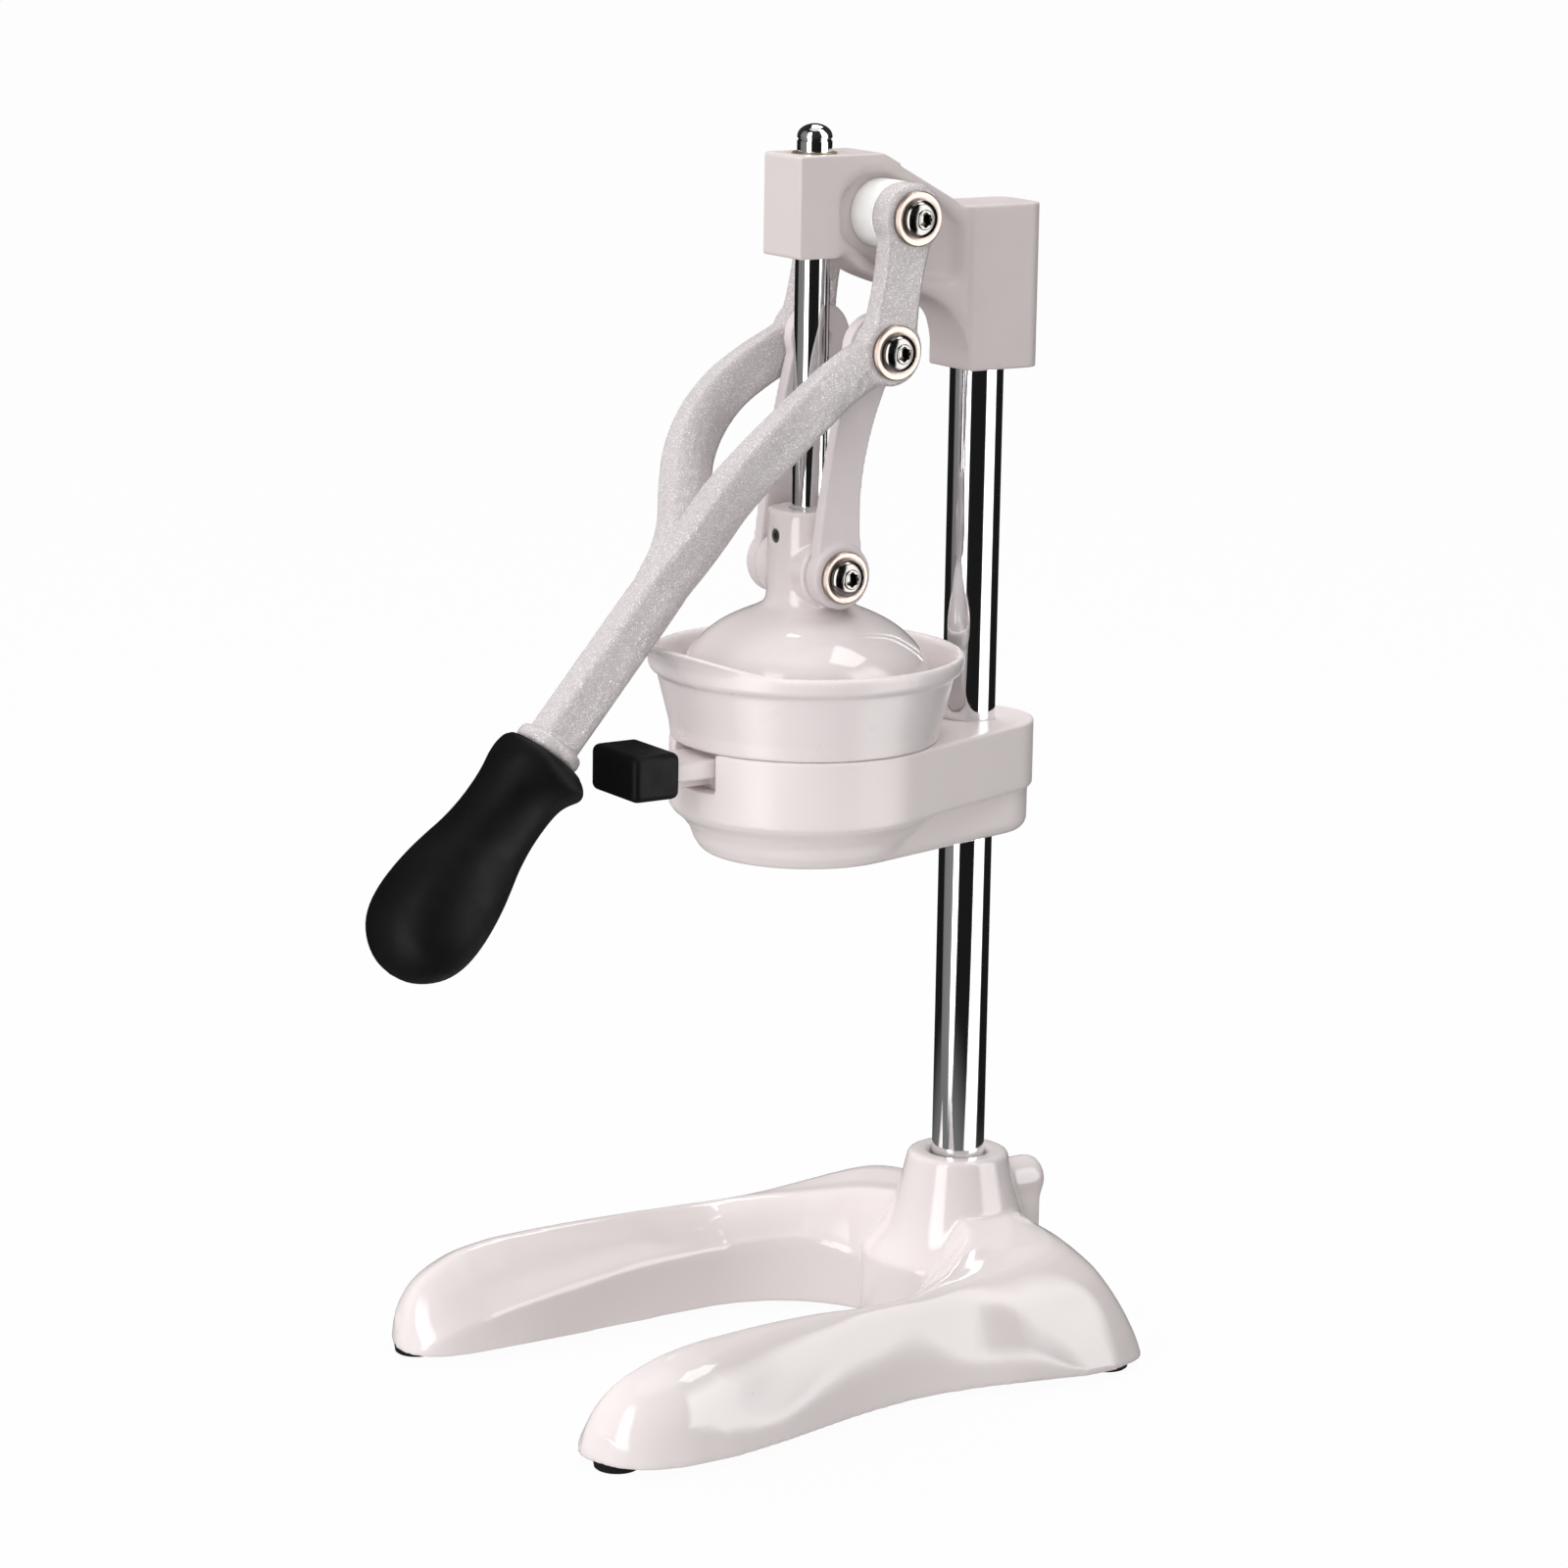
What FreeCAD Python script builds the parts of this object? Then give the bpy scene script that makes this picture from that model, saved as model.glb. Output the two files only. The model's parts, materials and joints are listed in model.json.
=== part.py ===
import FreeCAD, Part
import math
import os

# Citrus press juicer. Millimetres, +Z up, front (pour lip and grip) towards -Y.
# Everything is laid out about the column's axis, then moved back by COLUMN_Y so that
# the object's footprint box is centred on the origin.

V = FreeCAD.Vector

# ---- driving dimensions -------------------------------------------------------------
COLUMN_Y = 108.375        # column axis behind the footprint's centre
COLUMN_R = 10.0
PRESS_Y = -73.8           # press rod and bowl axis, in front of the column
ROD_R = 6.4
ROD_TOP = 463.5
GAP = 0.3                 # between bodies that move against each other
FIT = 0.05                # radial running clearance of a shaft in its hole
PIVOT_HEAD = (-50.9, 431.4)      # handle pivot, y and z
PIVOT_FORK = (-58.8, 383.6)      # link's upper pivot
PIVOT_PRESS = (-73.8, 301.6)     # link's lower pivot
LINK_IN = 16.3            # inner face of the links, from the middle plane
LINK_THICK = 5.4
ARM_IN = 22.0             # inner face of the fork's bosses
ARM_OUT = 31.8
BOSS_R = 12.5
AXLE_R = 6.0
STUD_R = 5.0
WASHER_R = 10.0
WASHER_T = 2.4
SCREW_HEAD_R = 7.0
SCREW_HEAD_T = 3.6
BAR_TILT = 40.7           # degrees forward of straight down
COLLAR_POS = (-183.4, 245.0)
BASE_Z = 3.2              # underside of the casting above the table
BASE_WALL = 5.0
U_Y = -78.0               # centre of the base's round inner end
U_R = 52.0
BOSS_TOP = 69.0
LUG_R = 9.0               # clamp screw lug behind the column boss
LUG_Z = 53.5
RIM_Z = 270.8
RING_TOP = 238.8
RING_STEP = 213.6
RING_BOTTOM = 196.3
RING_R = 50.0


# ---- helpers ------------------------------------------------------------------------
def cyl(r, h, pos, axis=V(0, 0, 1)):
    return Part.makeCylinder(r, h, pos, axis)


def box(x0, x1, y0, y1, z0, z1):
    return Part.makeBox(x1 - x0, y1 - y0, z1 - z0, V(x0, y0, z0))


def xcyl(r, x0, x1, pivot):
    """Cylinder along X between two x values, about a pivot given as (y, z)."""
    return Part.makeCylinder(r, x1 - x0, V(x0, pivot[0], pivot[1]), V(1, 0, 0))


def mirror_x(shape):
    return shape.mirror(V(0, 0, 0), V(1, 0, 0))


def both_sides(shape):
    return [shape, mirror_x(shape)]


def spline(points):
    curve = Part.BSplineCurve()
    curve.interpolate(points)
    return curve.toShape()


def loop(points):
    curve = Part.BSplineCurve()
    curve.interpolate(points, PeriodicFlag=True)
    return Part.Wire([curve.toShape()])


def revolved(profile, x=0.0, y=0.0):
    """Solid of revolution about a vertical axis from a closed (r, z) polygon."""
    pts = [V(x + r, y, z) for r, z in profile]
    face = Part.Face(Part.makePolygon(pts + [pts[0]]))
    return face.revolve(V(x, y, 0), V(0, 0, 1), 360)


def revolved_smooth(outer, inner, y):
    """Shell of revolution whose outer and inner (r, z) profiles are splines."""
    top = [V(r, y, z) for r, z in outer]
    low = [V(r, y, z) for r, z in inner]
    edges = [spline(top), Part.makeLine(top[-1], low[-1]), spline(low)]
    if (top[0] - low[0]).Length > 0:
        edges.append(Part.makeLine(low[0], top[0]))
    face = Part.Face(Part.Wire(Part.__sortEdges__(edges)))
    return face.revolve(V(0, y, 0), V(0, 0, 1), 360)


def rounded_section(centre, side, up, half_a, half_b, power=3.2, count=20):
    """Closed super-ellipse wire with half widths along two unit vectors."""
    pts = []
    for i in range(count):
        ang = 2 * math.pi * (i + 0.5) / count
        ca = math.cos(ang)
        sa = math.sin(ang)
        pa = math.copysign(abs(ca) ** (2 / power), ca) * half_a
        pb = math.copysign(abs(sa) ** (2 / power), sa) * half_b
        pts.append(centre + side * pa + up * pb)
    return loop(pts)


def fillet_or_same(shape, edges, radius):
    """Rounded copy of a shape, or the shape itself where the rounding can't be built."""
    try:
        out = shape.makeFillet(radius, edges)
    except Part.OCCError:
        return shape
    return out if out.isValid() else shape


def edges_at(shape, test):
    return [e for e in shape.Edges if test(e.BoundBox)]


def hex_socket(across, depth, pos, axis):
    ang = FreeCAD.Rotation(V(0, 0, 1), axis)
    pts = []
    for i in range(7):
        a = math.radians(60 * i)
        reach = across / math.sqrt(3)
        pts.append(pos + ang.multVec(V(reach * math.cos(a), reach * math.sin(a), 0)))
    return Part.Face(Part.makePolygon(pts)).extrude(axis * depth)


def button_screw(x_face, x_tip, pivot, shank_r):
    """Button-head socket screw on the +X side: head on x_face, shank back to x_tip."""
    head = xcyl(SCREW_HEAD_R, x_face, x_face + SCREW_HEAD_T, pivot)
    rim = edges_at(head, lambda b: b.XMin > x_face + SCREW_HEAD_T - 0.1)
    head = head.makeFillet(SCREW_HEAD_T - 0.8, rim)
    top = V(x_face + SCREW_HEAD_T + 0.1, pivot[0], pivot[1])
    head = head.cut(hex_socket(5.0, 2.3, top, V(-1, 0, 0)))
    return head.fuse(xcyl(shank_r, x_tip, x_face + 0.5, pivot)).removeSplitter()


def washer(x_face, pivot, hole_r, radius=WASHER_R, thick=WASHER_T):
    disc = xcyl(radius, x_face, x_face + thick, pivot)
    rim = edges_at(disc, lambda b: b.XMin > x_face + thick - 0.1)
    return disc.makeChamfer(0.4, rim).cut(xcyl(hole_r, x_face - 1, x_face + thick + 1, pivot))


def grub_screw(r, length, pos, axis):
    body = cyl(r, length, pos, axis)
    return body.cut(hex_socket(r, 2.0, pos + axis * (length + 0.1), axis * -1))


# ---- base ---------------------------------------------------------------------------
# Half of the horseshoe, from the front tip of the +X leg round to the rear middle.
# Straight leg: y, inner x, outer x, crest x, crest z.
LEG = [
    (-206.0, 62.0, 73.0, 67.5, 13.0),
    (-201.5, 55.5, 83.5, 69.0, 22.5),
    (-193.5, 51.5, 90.5, 70.0, 30.5),
    (-180.0, 50.0, 94.5, 71.0, 36.5),
    (-160.0, 50.0, 94.0, 70.5, 40.0),
    (-135.0, 50.5, 89.5, 69.0, 41.0),
    (-110.0, 51.5, 83.0, 67.0, 41.0),
    (-90.0, 52.0, 78.5, 65.5, 40.5),
]
# Round end: angle about the U's centre, outer radius, crest radius, crest z, shoulder.
TURN = [
    (8.0, 76.5, 65.0, 40.5, 0.55),
    (24.0, 85.0, 67.0, 42.0, 0.58),
    (36.0, 103.0, 70.0, 46.0, 0.66),
    (46.0, 126.0, 74.0, 50.0, 0.74),
    (54.0, 134.5, 78.0, 53.0, 0.76),
    (63.0, 127.0, 80.0, 55.5, 0.72),
    (76.0, 116.0, 80.0, 57.0, 0.66),
    (90.0, 112.0, 80.0, 57.5, 0.62),
]


def base_section(origin, out, inner, outer, crest, crest_z, shoulder, inset):
    """Closed section of the casting: a bowed top over a straight underside."""
    low = BASE_Z if inset == 0 else BASE_Z - 2
    a = inner + inset
    b = outer - inset
    top = crest_z - inset
    wall = 0.62 * top if crest_z < 45 else 0.42 * top
    fall = b - (b - crest) * (1 - shoulder)
    pts = [
        (a, low),
        (a + 0.6, low + 0.55 * (wall - low)),
        (a + 0.10 * (crest - a) + 0.8, wall),
        (a + 0.45 * (crest - a), wall + 0.66 * (top - wall)),
        (crest, top),
        (crest + 0.45 * (fall - crest) + 0.2 * (b - crest), 0.88 * top),
        (b - 0.25 * (b - crest), 0.66 * top),
        (b - 0.10 * (b - crest), 0.34 * top),
        (b, low),
    ]
    vec = [origin + out * r + V(0, 0, z) for r, z in pts]
    return Part.Wire([spline(vec), Part.makeLine(vec[-1], vec[0])])


def base_sections(inset):
    legs = LEG if inset == 0 else LEG[2:]
    half = []
    for y, inner, outer, crest, z in legs:
        half.append((V(0, y, 0), V(1, 0, 0), inner, outer, crest, z, 0.55))
    for ang, outer, crest, z, shoulder in TURN:
        a = math.radians(ang)
        half.append((V(0, U_Y, 0), V(math.cos(a), math.sin(a), 0), U_R, outer, crest, z, shoulder))
    full = list(half)
    for origin, out, *rest in reversed(half[:-1]):
        full.append((origin, V(-out.x, out.y, 0), *rest))
    return [base_section(*args, inset) for args in full]


def foot_places():
    return [(73.0, -196.5), (-73.0, -196.5), (73.5, 18.5), (-73.5, 18.5)]


def column_boss():
    return revolved([(0, BASE_Z), (25.5, BASE_Z), (25.5, 40), (22.3, 56), (19.1, BOSS_TOP - 1.5),
                     (17.6, BOSS_TOP),
                     (0, BOSS_TOP)])


def base_ribs():
    """Stiffening ribs under the casting, from the column boss to the rear feet."""
    ribs = []
    for x, y in foot_places()[2:]:
        rib = box(-2.5, 2.5, 0, math.hypot(x, y), BASE_Z, 50)
        rib.rotate(V(0, 0, 0), V(0, 0, 1), math.degrees(math.atan2(y, x)) - 90)
        ribs.append(rib)
    return Part.makeCompound(ribs)


def base_casting():
    outer = Part.makeLoft(base_sections(0), True)
    hollow = Part.makeLoft(base_sections(BASE_WALL), True)
    body = outer.cut(hollow).fuse(base_ribs().common(outer))
    lug = cyl(LUG_R, 24.0, V(0, 14, LUG_Z), V(0, 1, 0))
    lug = lug.makeFillet(3.5, edges_at(lug, lambda b: b.YMin > 37))
    lug = lug.fuse(box(-LUG_R, LUG_R, 14, 34.5, 30, LUG_Z))
    body = body.fuse([column_boss(), lug])
    body = body.cut(box(-120, 120, -240, 80, -20, BASE_Z))
    for x, y in foot_places():
        pad = cyl(9.0, 16.0, V(x, y, BASE_Z)).common(outer)
        body = body.fuse(pad)
    for x, y in foot_places():
        body = body.cut(cyl(2.2, 12.0, V(x, y, BASE_Z - 1)))
    body = body.cut(cyl(COLUMN_R + 0.1, 80.0, V(0, 0, 12)))
    body = body.cut(cyl(3.1, 40.0, V(0, 5, LUG_Z), V(0, 1, 0)))
    return body.removeSplitter()


def base_feet():
    feet = []
    for x, y in foot_places():
        foot = Part.makeCone(8.0, 8.6, BASE_Z - 0.1, V(x, y, 0))
        foot = foot.cut(cyl(2.0, 10, V(x, y, -1)))
        feet.append(foot.cut(cyl(3.9, 1.7, V(x, y, -0.1))))
    return Part.makeCompound(feet)


def foot_screws():
    screws = []
    for x, y in foot_places():
        head = cyl(3.5, 0.9, V(x, y, 0.6)).cut(box(x - 0.5, x + 0.5, y - 4, y + 4, 0.5, 1.0))
        screws.append(head.fuse(cyl(1.9, 11.5, V(x, y, 1.2))))
    return Part.makeCompound(screws)


def base_clamp_screw():
    return grub_screw(3.0, 21.0, V(0, 10.4, LUG_Z), V(0, 1, 0))


def column():
    rod = cyl(COLUMN_R, 424.0 - 13.0, V(0, 0, 13))
    return rod.makeChamfer(0.8, rod.Edges)


# ---- bowl holder --------------------------------------------------------------------
def tapered_slab(r_front, r_back, z0, z1):
    """Slab joining a round end on the bowl axis to a round end on the column."""
    reach = -PRESS_Y
    s = (r_front - r_back) / reach
    c = math.sqrt(1 - s * s)
    pts = [
        V(r_front * c, PRESS_Y + r_front * s, z0),
        V(r_back * c, r_back * s, z0),
        V(-r_back * c, r_back * s, z0),
        V(-r_front * c, PRESS_Y + r_front * s, z0),
    ]
    slab = Part.Face(Part.makePolygon(pts + [pts[0]])).extrude(V(0, 0, z1 - z0))
    ends = [cyl(r_front, z1 - z0, V(0, PRESS_Y, z0)), cyl(r_back, z1 - z0, V(0, 0, z0))]
    return slab.fuse(ends).removeSplitter()


def holder_bracket():
    upper = tapered_slab(RING_R, 24.6, RING_STEP, RING_TOP)
    lower = tapered_slab(40.0, 22.8, RING_BOTTOM, RING_STEP)
    lower = fillet_or_same(lower, edges_at(lower, lambda b: b.ZMax < RING_BOTTOM + 0.1), 5.0)
    cove = revolved([(38, RING_STEP + 1), (49.4, RING_STEP + 1), (48.9, RING_STEP - 1.5),
                     (45.2, RING_STEP - 4.5),
                     (42.2, RING_STEP - 8.5), (40.6, RING_STEP - 13), (38, RING_STEP - 15)], y=PRESS_Y)
    body = upper.fuse([lower, cove])
    body = body.cut(cyl(43.4, 60, V(0, PRESS_Y, RING_STEP + 1.5)))
    body = body.cut(cyl(35.0, 60, V(0, PRESS_Y, RING_BOTTOM - 5)))
    body = body.cut(box(-13.5, 13.5, PRESS_Y - 60, PRESS_Y - 38, 224.0, RING_TOP + 1))
    body = body.cut(cyl(COLUMN_R + 0.1, 60, V(0, 0, RING_BOTTOM - 5)))
    for z in (208.0, 227.0):
        body = body.cut(cyl(4.1, 30, V(0, 8, z), V(0, 1, 0)))
    return body.removeSplitter()


def holder_clamp_screws():
    return Part.makeCompound([grub_screw(4.0, 12.0, V(0, 10.3, z), V(0, 1, 0)) for z in (208.0, 227.0)])


# ---- bowl and strainer --------------------------------------------------------------
def pour_lip():
    """Flared lip, cut by a sloping plane so that it dies into the rim at both sides."""
    wall = [(54.9, 268.0), (57.6, 268.0), (61.5, 274.0), (66.2, 282.5), (63.8, 282.5), (59.3, 275.0)]
    flare = revolved(wall, y=PRESS_Y)
    low = V(0, PRESS_Y - 38.0, RIM_Z - 0.6)
    high = V(0, PRESS_Y - 65.0, RIM_Z + 9.0)
    pts = []
    for x in (-90, 90):
        pts.append(V(x, low.y, low.z))
    for x in (90, -90):
        pts.append(V(x, high.y, high.z))
    keep = Part.Face(Part.makePolygon(pts + [pts[0]])).extrude(V(0, 0, -30))
    return flare.common(keep)


def juice_bowl():
    wall = [
        (8.0, 200.5), (11.0, 200.5), (11.0, 213.5), (40.0, 216.6), (43.0, 219.6), (43.0, RING_TOP + 0.05),
        (49.4, RING_TOP + 0.05), (50.3, 245.0), (55.2, 263.4), (56.6, 264.4), (57.6, 265.6), (58.4, 268.6),
        (57.7, RIM_Z), (55.2, RIM_Z), (54.0, 269.0), (53.2, 265.5), (47.6, 244.0), (40.0, 236.0),
        (40.0, 228.0), (37.0, 228.0), (37.0, 220.6), (8.0, 217.0),
    ]
    bowl = revolved(wall, y=PRESS_Y)
    lip = pour_lip()
    tab = box(-11.5, 11.5, PRESS_Y - 78.5, PRESS_Y - 41.5, 229.5, 236.5)
    rib = box(-3.5, 3.5, PRESS_Y - 62, PRESS_Y - 41.5, 225.5, 230)
    return bowl.fuse([lip, tab, rib]).removeSplitter()


def bowl_tab_cap():
    cap = box(-15.6, 15.6, PRESS_Y - 83.0, PRESS_Y - 63.2, 224.4, 241.6)
    cap = fillet_or_same(cap, cap.Edges, 2.8)
    return cap.cut(box(-11.6, 11.6, PRESS_Y - 78.6, PRESS_Y - 60, 229.4, 236.6))


def strainer():
    disc = cyl(39.7, 1.6, V(0, PRESS_Y, 228.1))
    slots = []
    for i in range(24):
        slot = box(31.0, 38.0, -1.3, 1.3, 227, 231)
        slot.rotate(V(0, 0, 0), V(0, 0, 1), 15 * i + 7.5)
        slot.translate(V(0, PRESS_Y, 0))
        slots.append(slot)
    return disc.cut(Part.makeCompound(slots))


def reamer_cone():
    core = [(0, 275.0), (3.5, 274.2), (10.0, 266.5), (18.0, 252.0), (24.5, 238.5), (29.8, 232.0),
            (29.8, 229.8), (0, 229.8)]
    ribs = [(0, 277.0), (5.0, 275.8), (12.4, 268.0), (20.6, 253.0), (27.0, 239.0), (29.8, 233.0),
            (29.8, 229.8), (0, 229.8)]
    body = revolved(core, y=PRESS_Y)
    ridge = revolved(ribs, y=PRESS_Y)
    fins = []
    for i in range(5):
        fin = box(-31, 31, -1.1, 1.1, 229, 280)
        fin.rotate(V(0, 0, 0), V(0, 0, 1), 36 * i)
        fin.translate(V(0, PRESS_Y, 0))
        fins.append(fin)
    fins = fins[0].fuse(fins[1:]).common(ridge)
    return body.fuse(fins).removeSplitter()


# ---- press cup and rod --------------------------------------------------------------
def press_cup():
    outer = [(0.0, 289.5), (9.0, 289.0), (17.5, 287.3), (27.0, 283.6), (33.5, 279.9), (39.0, 275.3),
             (43.2, 270.4), (45.6, 264.5), (46.4, 257.5), (46.4, 250.0)]
    inner = [(0.0, 279.5), (9.0, 279.2), (17.5, 278.2), (26.0, 275.4), (32.0, 271.9), (37.0, 267.4),
             (40.6, 261.8), (42.2, 256.0), (42.6, 250.0)]
    dome = revolved_smooth(outer, inner, PRESS_Y)
    neck = revolved([(0, 284.0), (23.5, 284.8), (19.4, 287.0), (16.6, 288.4), (15.4, 290.2), (15.0, 293.0),
                     (15.0, 323.0), (14.0, 324.0), (0, 324.0)], y=PRESS_Y)
    boss = xcyl(13.0, -16.0, 16.0, PIVOT_PRESS)
    cup = dome.fuse([neck, boss])
    cup = cup.cut(cyl(ROD_R + 0.1, 60, V(0, PRESS_Y, 292.0)))
    for side in both_sides(xcyl(STUD_R + 0.1, 7.0, 20.0, PIVOT_PRESS)):
        cup = cup.cut(side)
    cup = cup.cut(cyl(2.6, 20, V(0, PRESS_Y - 5, 314.5), V(0, -1, 0)))
    return cup.removeSplitter()


def press_rod():
    rod = cyl(ROD_R, ROD_TOP - 292.2, V(0, PRESS_Y, 292.2))
    rod = rod.makeFillet(4.6, edges_at(rod, lambda b: b.ZMin > ROD_TOP - 1))
    inside = ROD_R - 0.5
    outside = ROD_R + 1
    groove = revolved([(inside, 457.4), (outside, 457.4), (outside, 458.4), (inside, 458.4)], y=PRESS_Y)
    return rod.cut(groove)


def rod_set_screw():
    return grub_screw(2.5, 7.6, V(0, PRESS_Y - ROD_R - 0.1, 314.5), V(0, -1, 0))


def press_pivot_screws():
    seat = LINK_IN + 7.0 + WASHER_T + 0.2
    return Part.makeCompound(both_sides(button_screw(seat, 8.0, PIVOT_PRESS, STUD_R)))


def press_pivot_washers():
    return Part.makeCompound(both_sides(washer(LINK_IN + 7.0 + 0.2, PIVOT_PRESS, STUD_R + 0.1, 9.6)))


# ---- links --------------------------------------------------------------------------
def link():
    """Flat strap bowed forward, with a thick eye below and a thin one above."""
    y0, z0 = PIVOT_PRESS
    y1, z1 = PIVOT_FORK
    bow = 5.0
    rear = []
    front = []
    for i in range(9):
        t = i / 8
        bend = 4 * t * (1 - t)
        half = 10.6 - 3.2 * bend
        y = y0 + (y1 - y0) * t - bow * bend
        z = z0 + (z1 - z0) * t
        rear.append(V(LINK_IN, y + half, z))
        front.append(V(LINK_IN, y - half, z))
    ends = [Part.makeLine(rear[-1], front[-1]), Part.makeLine(front[0], rear[0])]
    wire = Part.Wire([spline(rear), ends[0], spline(front[::-1]), ends[1]])
    strap = Part.Face(wire).extrude(V(LINK_THICK, 0, 0))
    low = xcyl(12.0, LINK_IN, LINK_IN + 7.0, PIVOT_PRESS)
    high = xcyl(13.0, LINK_IN, LINK_IN + LINK_THICK, PIVOT_FORK)
    strap = strap.fuse([low, high])
    strap = strap.cut(xcyl(STUD_R + FIT, LINK_IN - 1, LINK_IN + 9, PIVOT_PRESS))
    return strap.cut(xcyl(STUD_R + FIT, LINK_IN - 1, LINK_IN + 9, PIVOT_FORK)).removeSplitter()


# ---- handle -------------------------------------------------------------------------
def bar_point(s):
    """Point on the bar's axis, s millimetres past the collar."""
    a = math.radians(BAR_TILT)
    return V(0, COLLAR_POS[0] - s * math.sin(a), COLLAR_POS[1] - s * math.cos(a))


def bar_axis():
    return (bar_point(1) - bar_point(0)).normalize()


ARM_PATH = [
    (26.9, -58.8, 383.6, 4.9, 9.6),
    (26.9, -68.5, 379.2, 4.7, 9.0),
    (27.9, -80.0, 373.2, 5.5, 8.6),
    (28.9, -92.0, 365.0, 6.2, 8.6),
    (26.8, -103.0, 354.8, 6.6, 8.8),
    (21.4, -112.2, 343.4, 6.9, 9.0),
    (14.0, -118.4, 332.0, 7.4, 9.0),
    (6.6, -123.2, 320.5, 7.8, 9.0),
    (2.4, -129.8, 308.5, 7.8, 8.6),
]


# Sections of the straight bar: distance from the collar, half-width and half-height.
BAR_SECTIONS = [
    (-93, 5.6, 6.4),
    (-84, 7.6, 8.0),
    (-70, 8.4, 8.7),
    (-40, 8.4, 8.7),
    (-8, 8.4, 8.7),
    (0, 8.4, 8.7),
]


def fork_arm():
    """Bowed arm from the link pivot to the bar, as a loft of rounded sections."""
    pts = [V(*p[:3]) for p in ARM_PATH]
    wires = []
    for i, p in enumerate(ARM_PATH):
        ahead = pts[min(i + 1, len(pts) - 1)]
        behind = pts[max(i - 1, 0)]
        tangent = (ahead - behind).normalize()
        up = tangent.cross(V(1, 0, 0)).normalize()
        side = up.cross(tangent).normalize()
        wires.append(rounded_section(pts[i], side, up, p[3], p[4]))
    return Part.makeLoft(wires, True)


def fork_plate():
    """Short crank plate between the head pivot and the link pivot."""
    along = V(0, PIVOT_FORK[0] - PIVOT_HEAD[0], PIVOT_FORK[1] - PIVOT_HEAD[1])
    across = V(0, along.z, -along.y).normalize()
    half = 8.8
    top = V(ARM_IN + 1.0, *PIVOT_HEAD)
    low = V(ARM_IN + 1.0, *PIVOT_FORK)
    pts = [top + across * half, low + across * half, low - across * half, top - across * half]
    plate = Part.Face(Part.makePolygon(pts + [pts[0]])).extrude(V(ARM_OUT - ARM_IN - 2.0, 0, 0))
    return fillet_or_same(plate, [e for e in plate.Edges if e.Length > 40], 2.0)


def fork_handle():
    half = fork_arm().fuse([
        fork_plate(),
        xcyl(BOSS_R, ARM_IN, ARM_OUT, PIVOT_HEAD),
        xcyl(BOSS_R, ARM_IN, ARM_OUT, PIVOT_FORK),
    ])
    half = half.cut(xcyl(AXLE_R + FIT, 0, 60, PIVOT_HEAD))
    half = half.cut(xcyl(STUD_R + 0.1, 0, 60, PIVOT_FORK))
    up = bar_axis().cross(V(1, 0, 0)).normalize()
    sections = [rounded_section(bar_point(s), V(1, 0, 0), up, a, b) for s, a, b in BAR_SECTIONS]
    bar = Part.makeLoft(sections, True)
    collar = cyl(12.6, 5.6, bar_point(-2.8), bar_axis())
    collar = collar.makeFillet(2.0, edges_at(collar, lambda b: b.DiagonalLength > 20))
    tang = cyl(6.0, 70.0, bar_point(0), bar_axis())
    return bar.fuse([half, mirror_x(half), collar, tang]).removeSplitter()


def handle_grip():
    """Pear-shaped grip turned about the bar's axis, with a socket for the tang."""
    profile = [(13.2, 3.0), (15.8, 4.4), (17.8, 7.0), (18.1, 9.5), (17.0, 13.0), (15.9, 18.0),
               (15.5, 25.0), (15.6, 33.0), (16.6, 42.0), (18.4, 50.0), (20.2, 58.0), (21.3, 67.0),
               (21.4, 76.0), (19.4, 84.5), (15.4, 91.5), (9.6, 96.6), (3.0, 98.9), (0.0, 99.1)]
    pts = [V(r, 0, s) for r, s in profile]
    edges = [spline(pts), Part.makeLine(pts[-1], V(0, 0, 3.0)), Part.makeLine(V(0, 0, 3.0), pts[0])]
    solid = Part.Face(Part.Wire(edges)).revolve(V(0, 0, 0), V(0, 0, 1), 360)
    solid = solid.cut(cyl(6.1, 70.2, V(0, 0, 0)))
    turn = FreeCAD.Rotation(V(0, 0, 1), bar_axis())
    solid.Placement = FreeCAD.Placement(bar_point(0), turn)
    return solid


def link_pivot_washers():
    return Part.makeCompound(both_sides(washer(ARM_OUT + 0.1, PIVOT_FORK, STUD_R + 0.1)))


def link_pivot_screws():
    seat = ARM_OUT + WASHER_T + 0.2
    return Part.makeCompound(both_sides(button_screw(seat, ARM_IN + 0.1, PIVOT_FORK, STUD_R)))


# ---- head ---------------------------------------------------------------------------
def head_profile(x):
    """Side view of the head: front block, arched web and column block."""
    arch = [(-65.3, 415.4), (-53.0, 407.7), (-35.6, 401.7), (-26.2, 398.1), (-21.1, 394.7),
            (-16.1, 388.9), (-13.3, 382.4), (-12.6, 371.5)]
    lower = [V(x, y, z) for y, z in arch]
    corners = [(19.9, 371.5), (19.9, 432.4), (-15.0, 432.4), (-19.3, 435.4), (-51.7, 453.0),
               (-87.5, 453.0), (-87.5, 416.0), (-66.5, 416.0)]
    loop_pts = [lower[-1]] + [V(x, y, z) for y, z in corners] + [lower[0]]
    sides = [Part.makeLine(p, q) for p, q in zip(loop_pts, loop_pts[1:])]
    return Part.Face(Part.Wire([spline(lower)] + sides))


def head_pocket(x0, x1):
    """Recess beside the web, with room for the pivot's spacer bush."""
    pts = [(-69.5, 424.0), (-69.5, 438.0), (-60.0, 446.0), (-50.0, 446.0), (-26.0, 433.5),
           (-16.5, 425.0), (-16.5, 404.0), (-36.0, 407.0), (-54.0, 413.0)]
    vec = [V(x0, y, z) for y, z in pts]
    slab = Part.Face(Part.makePolygon(vec + [vec[0]])).extrude(V(x1 - x0, 0, 0))
    return fillet_or_same(slab, [e for e in slab.Edges if abs(e.BoundBox.XLength - (x1 - x0)) < 0.01], 4.0)


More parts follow.
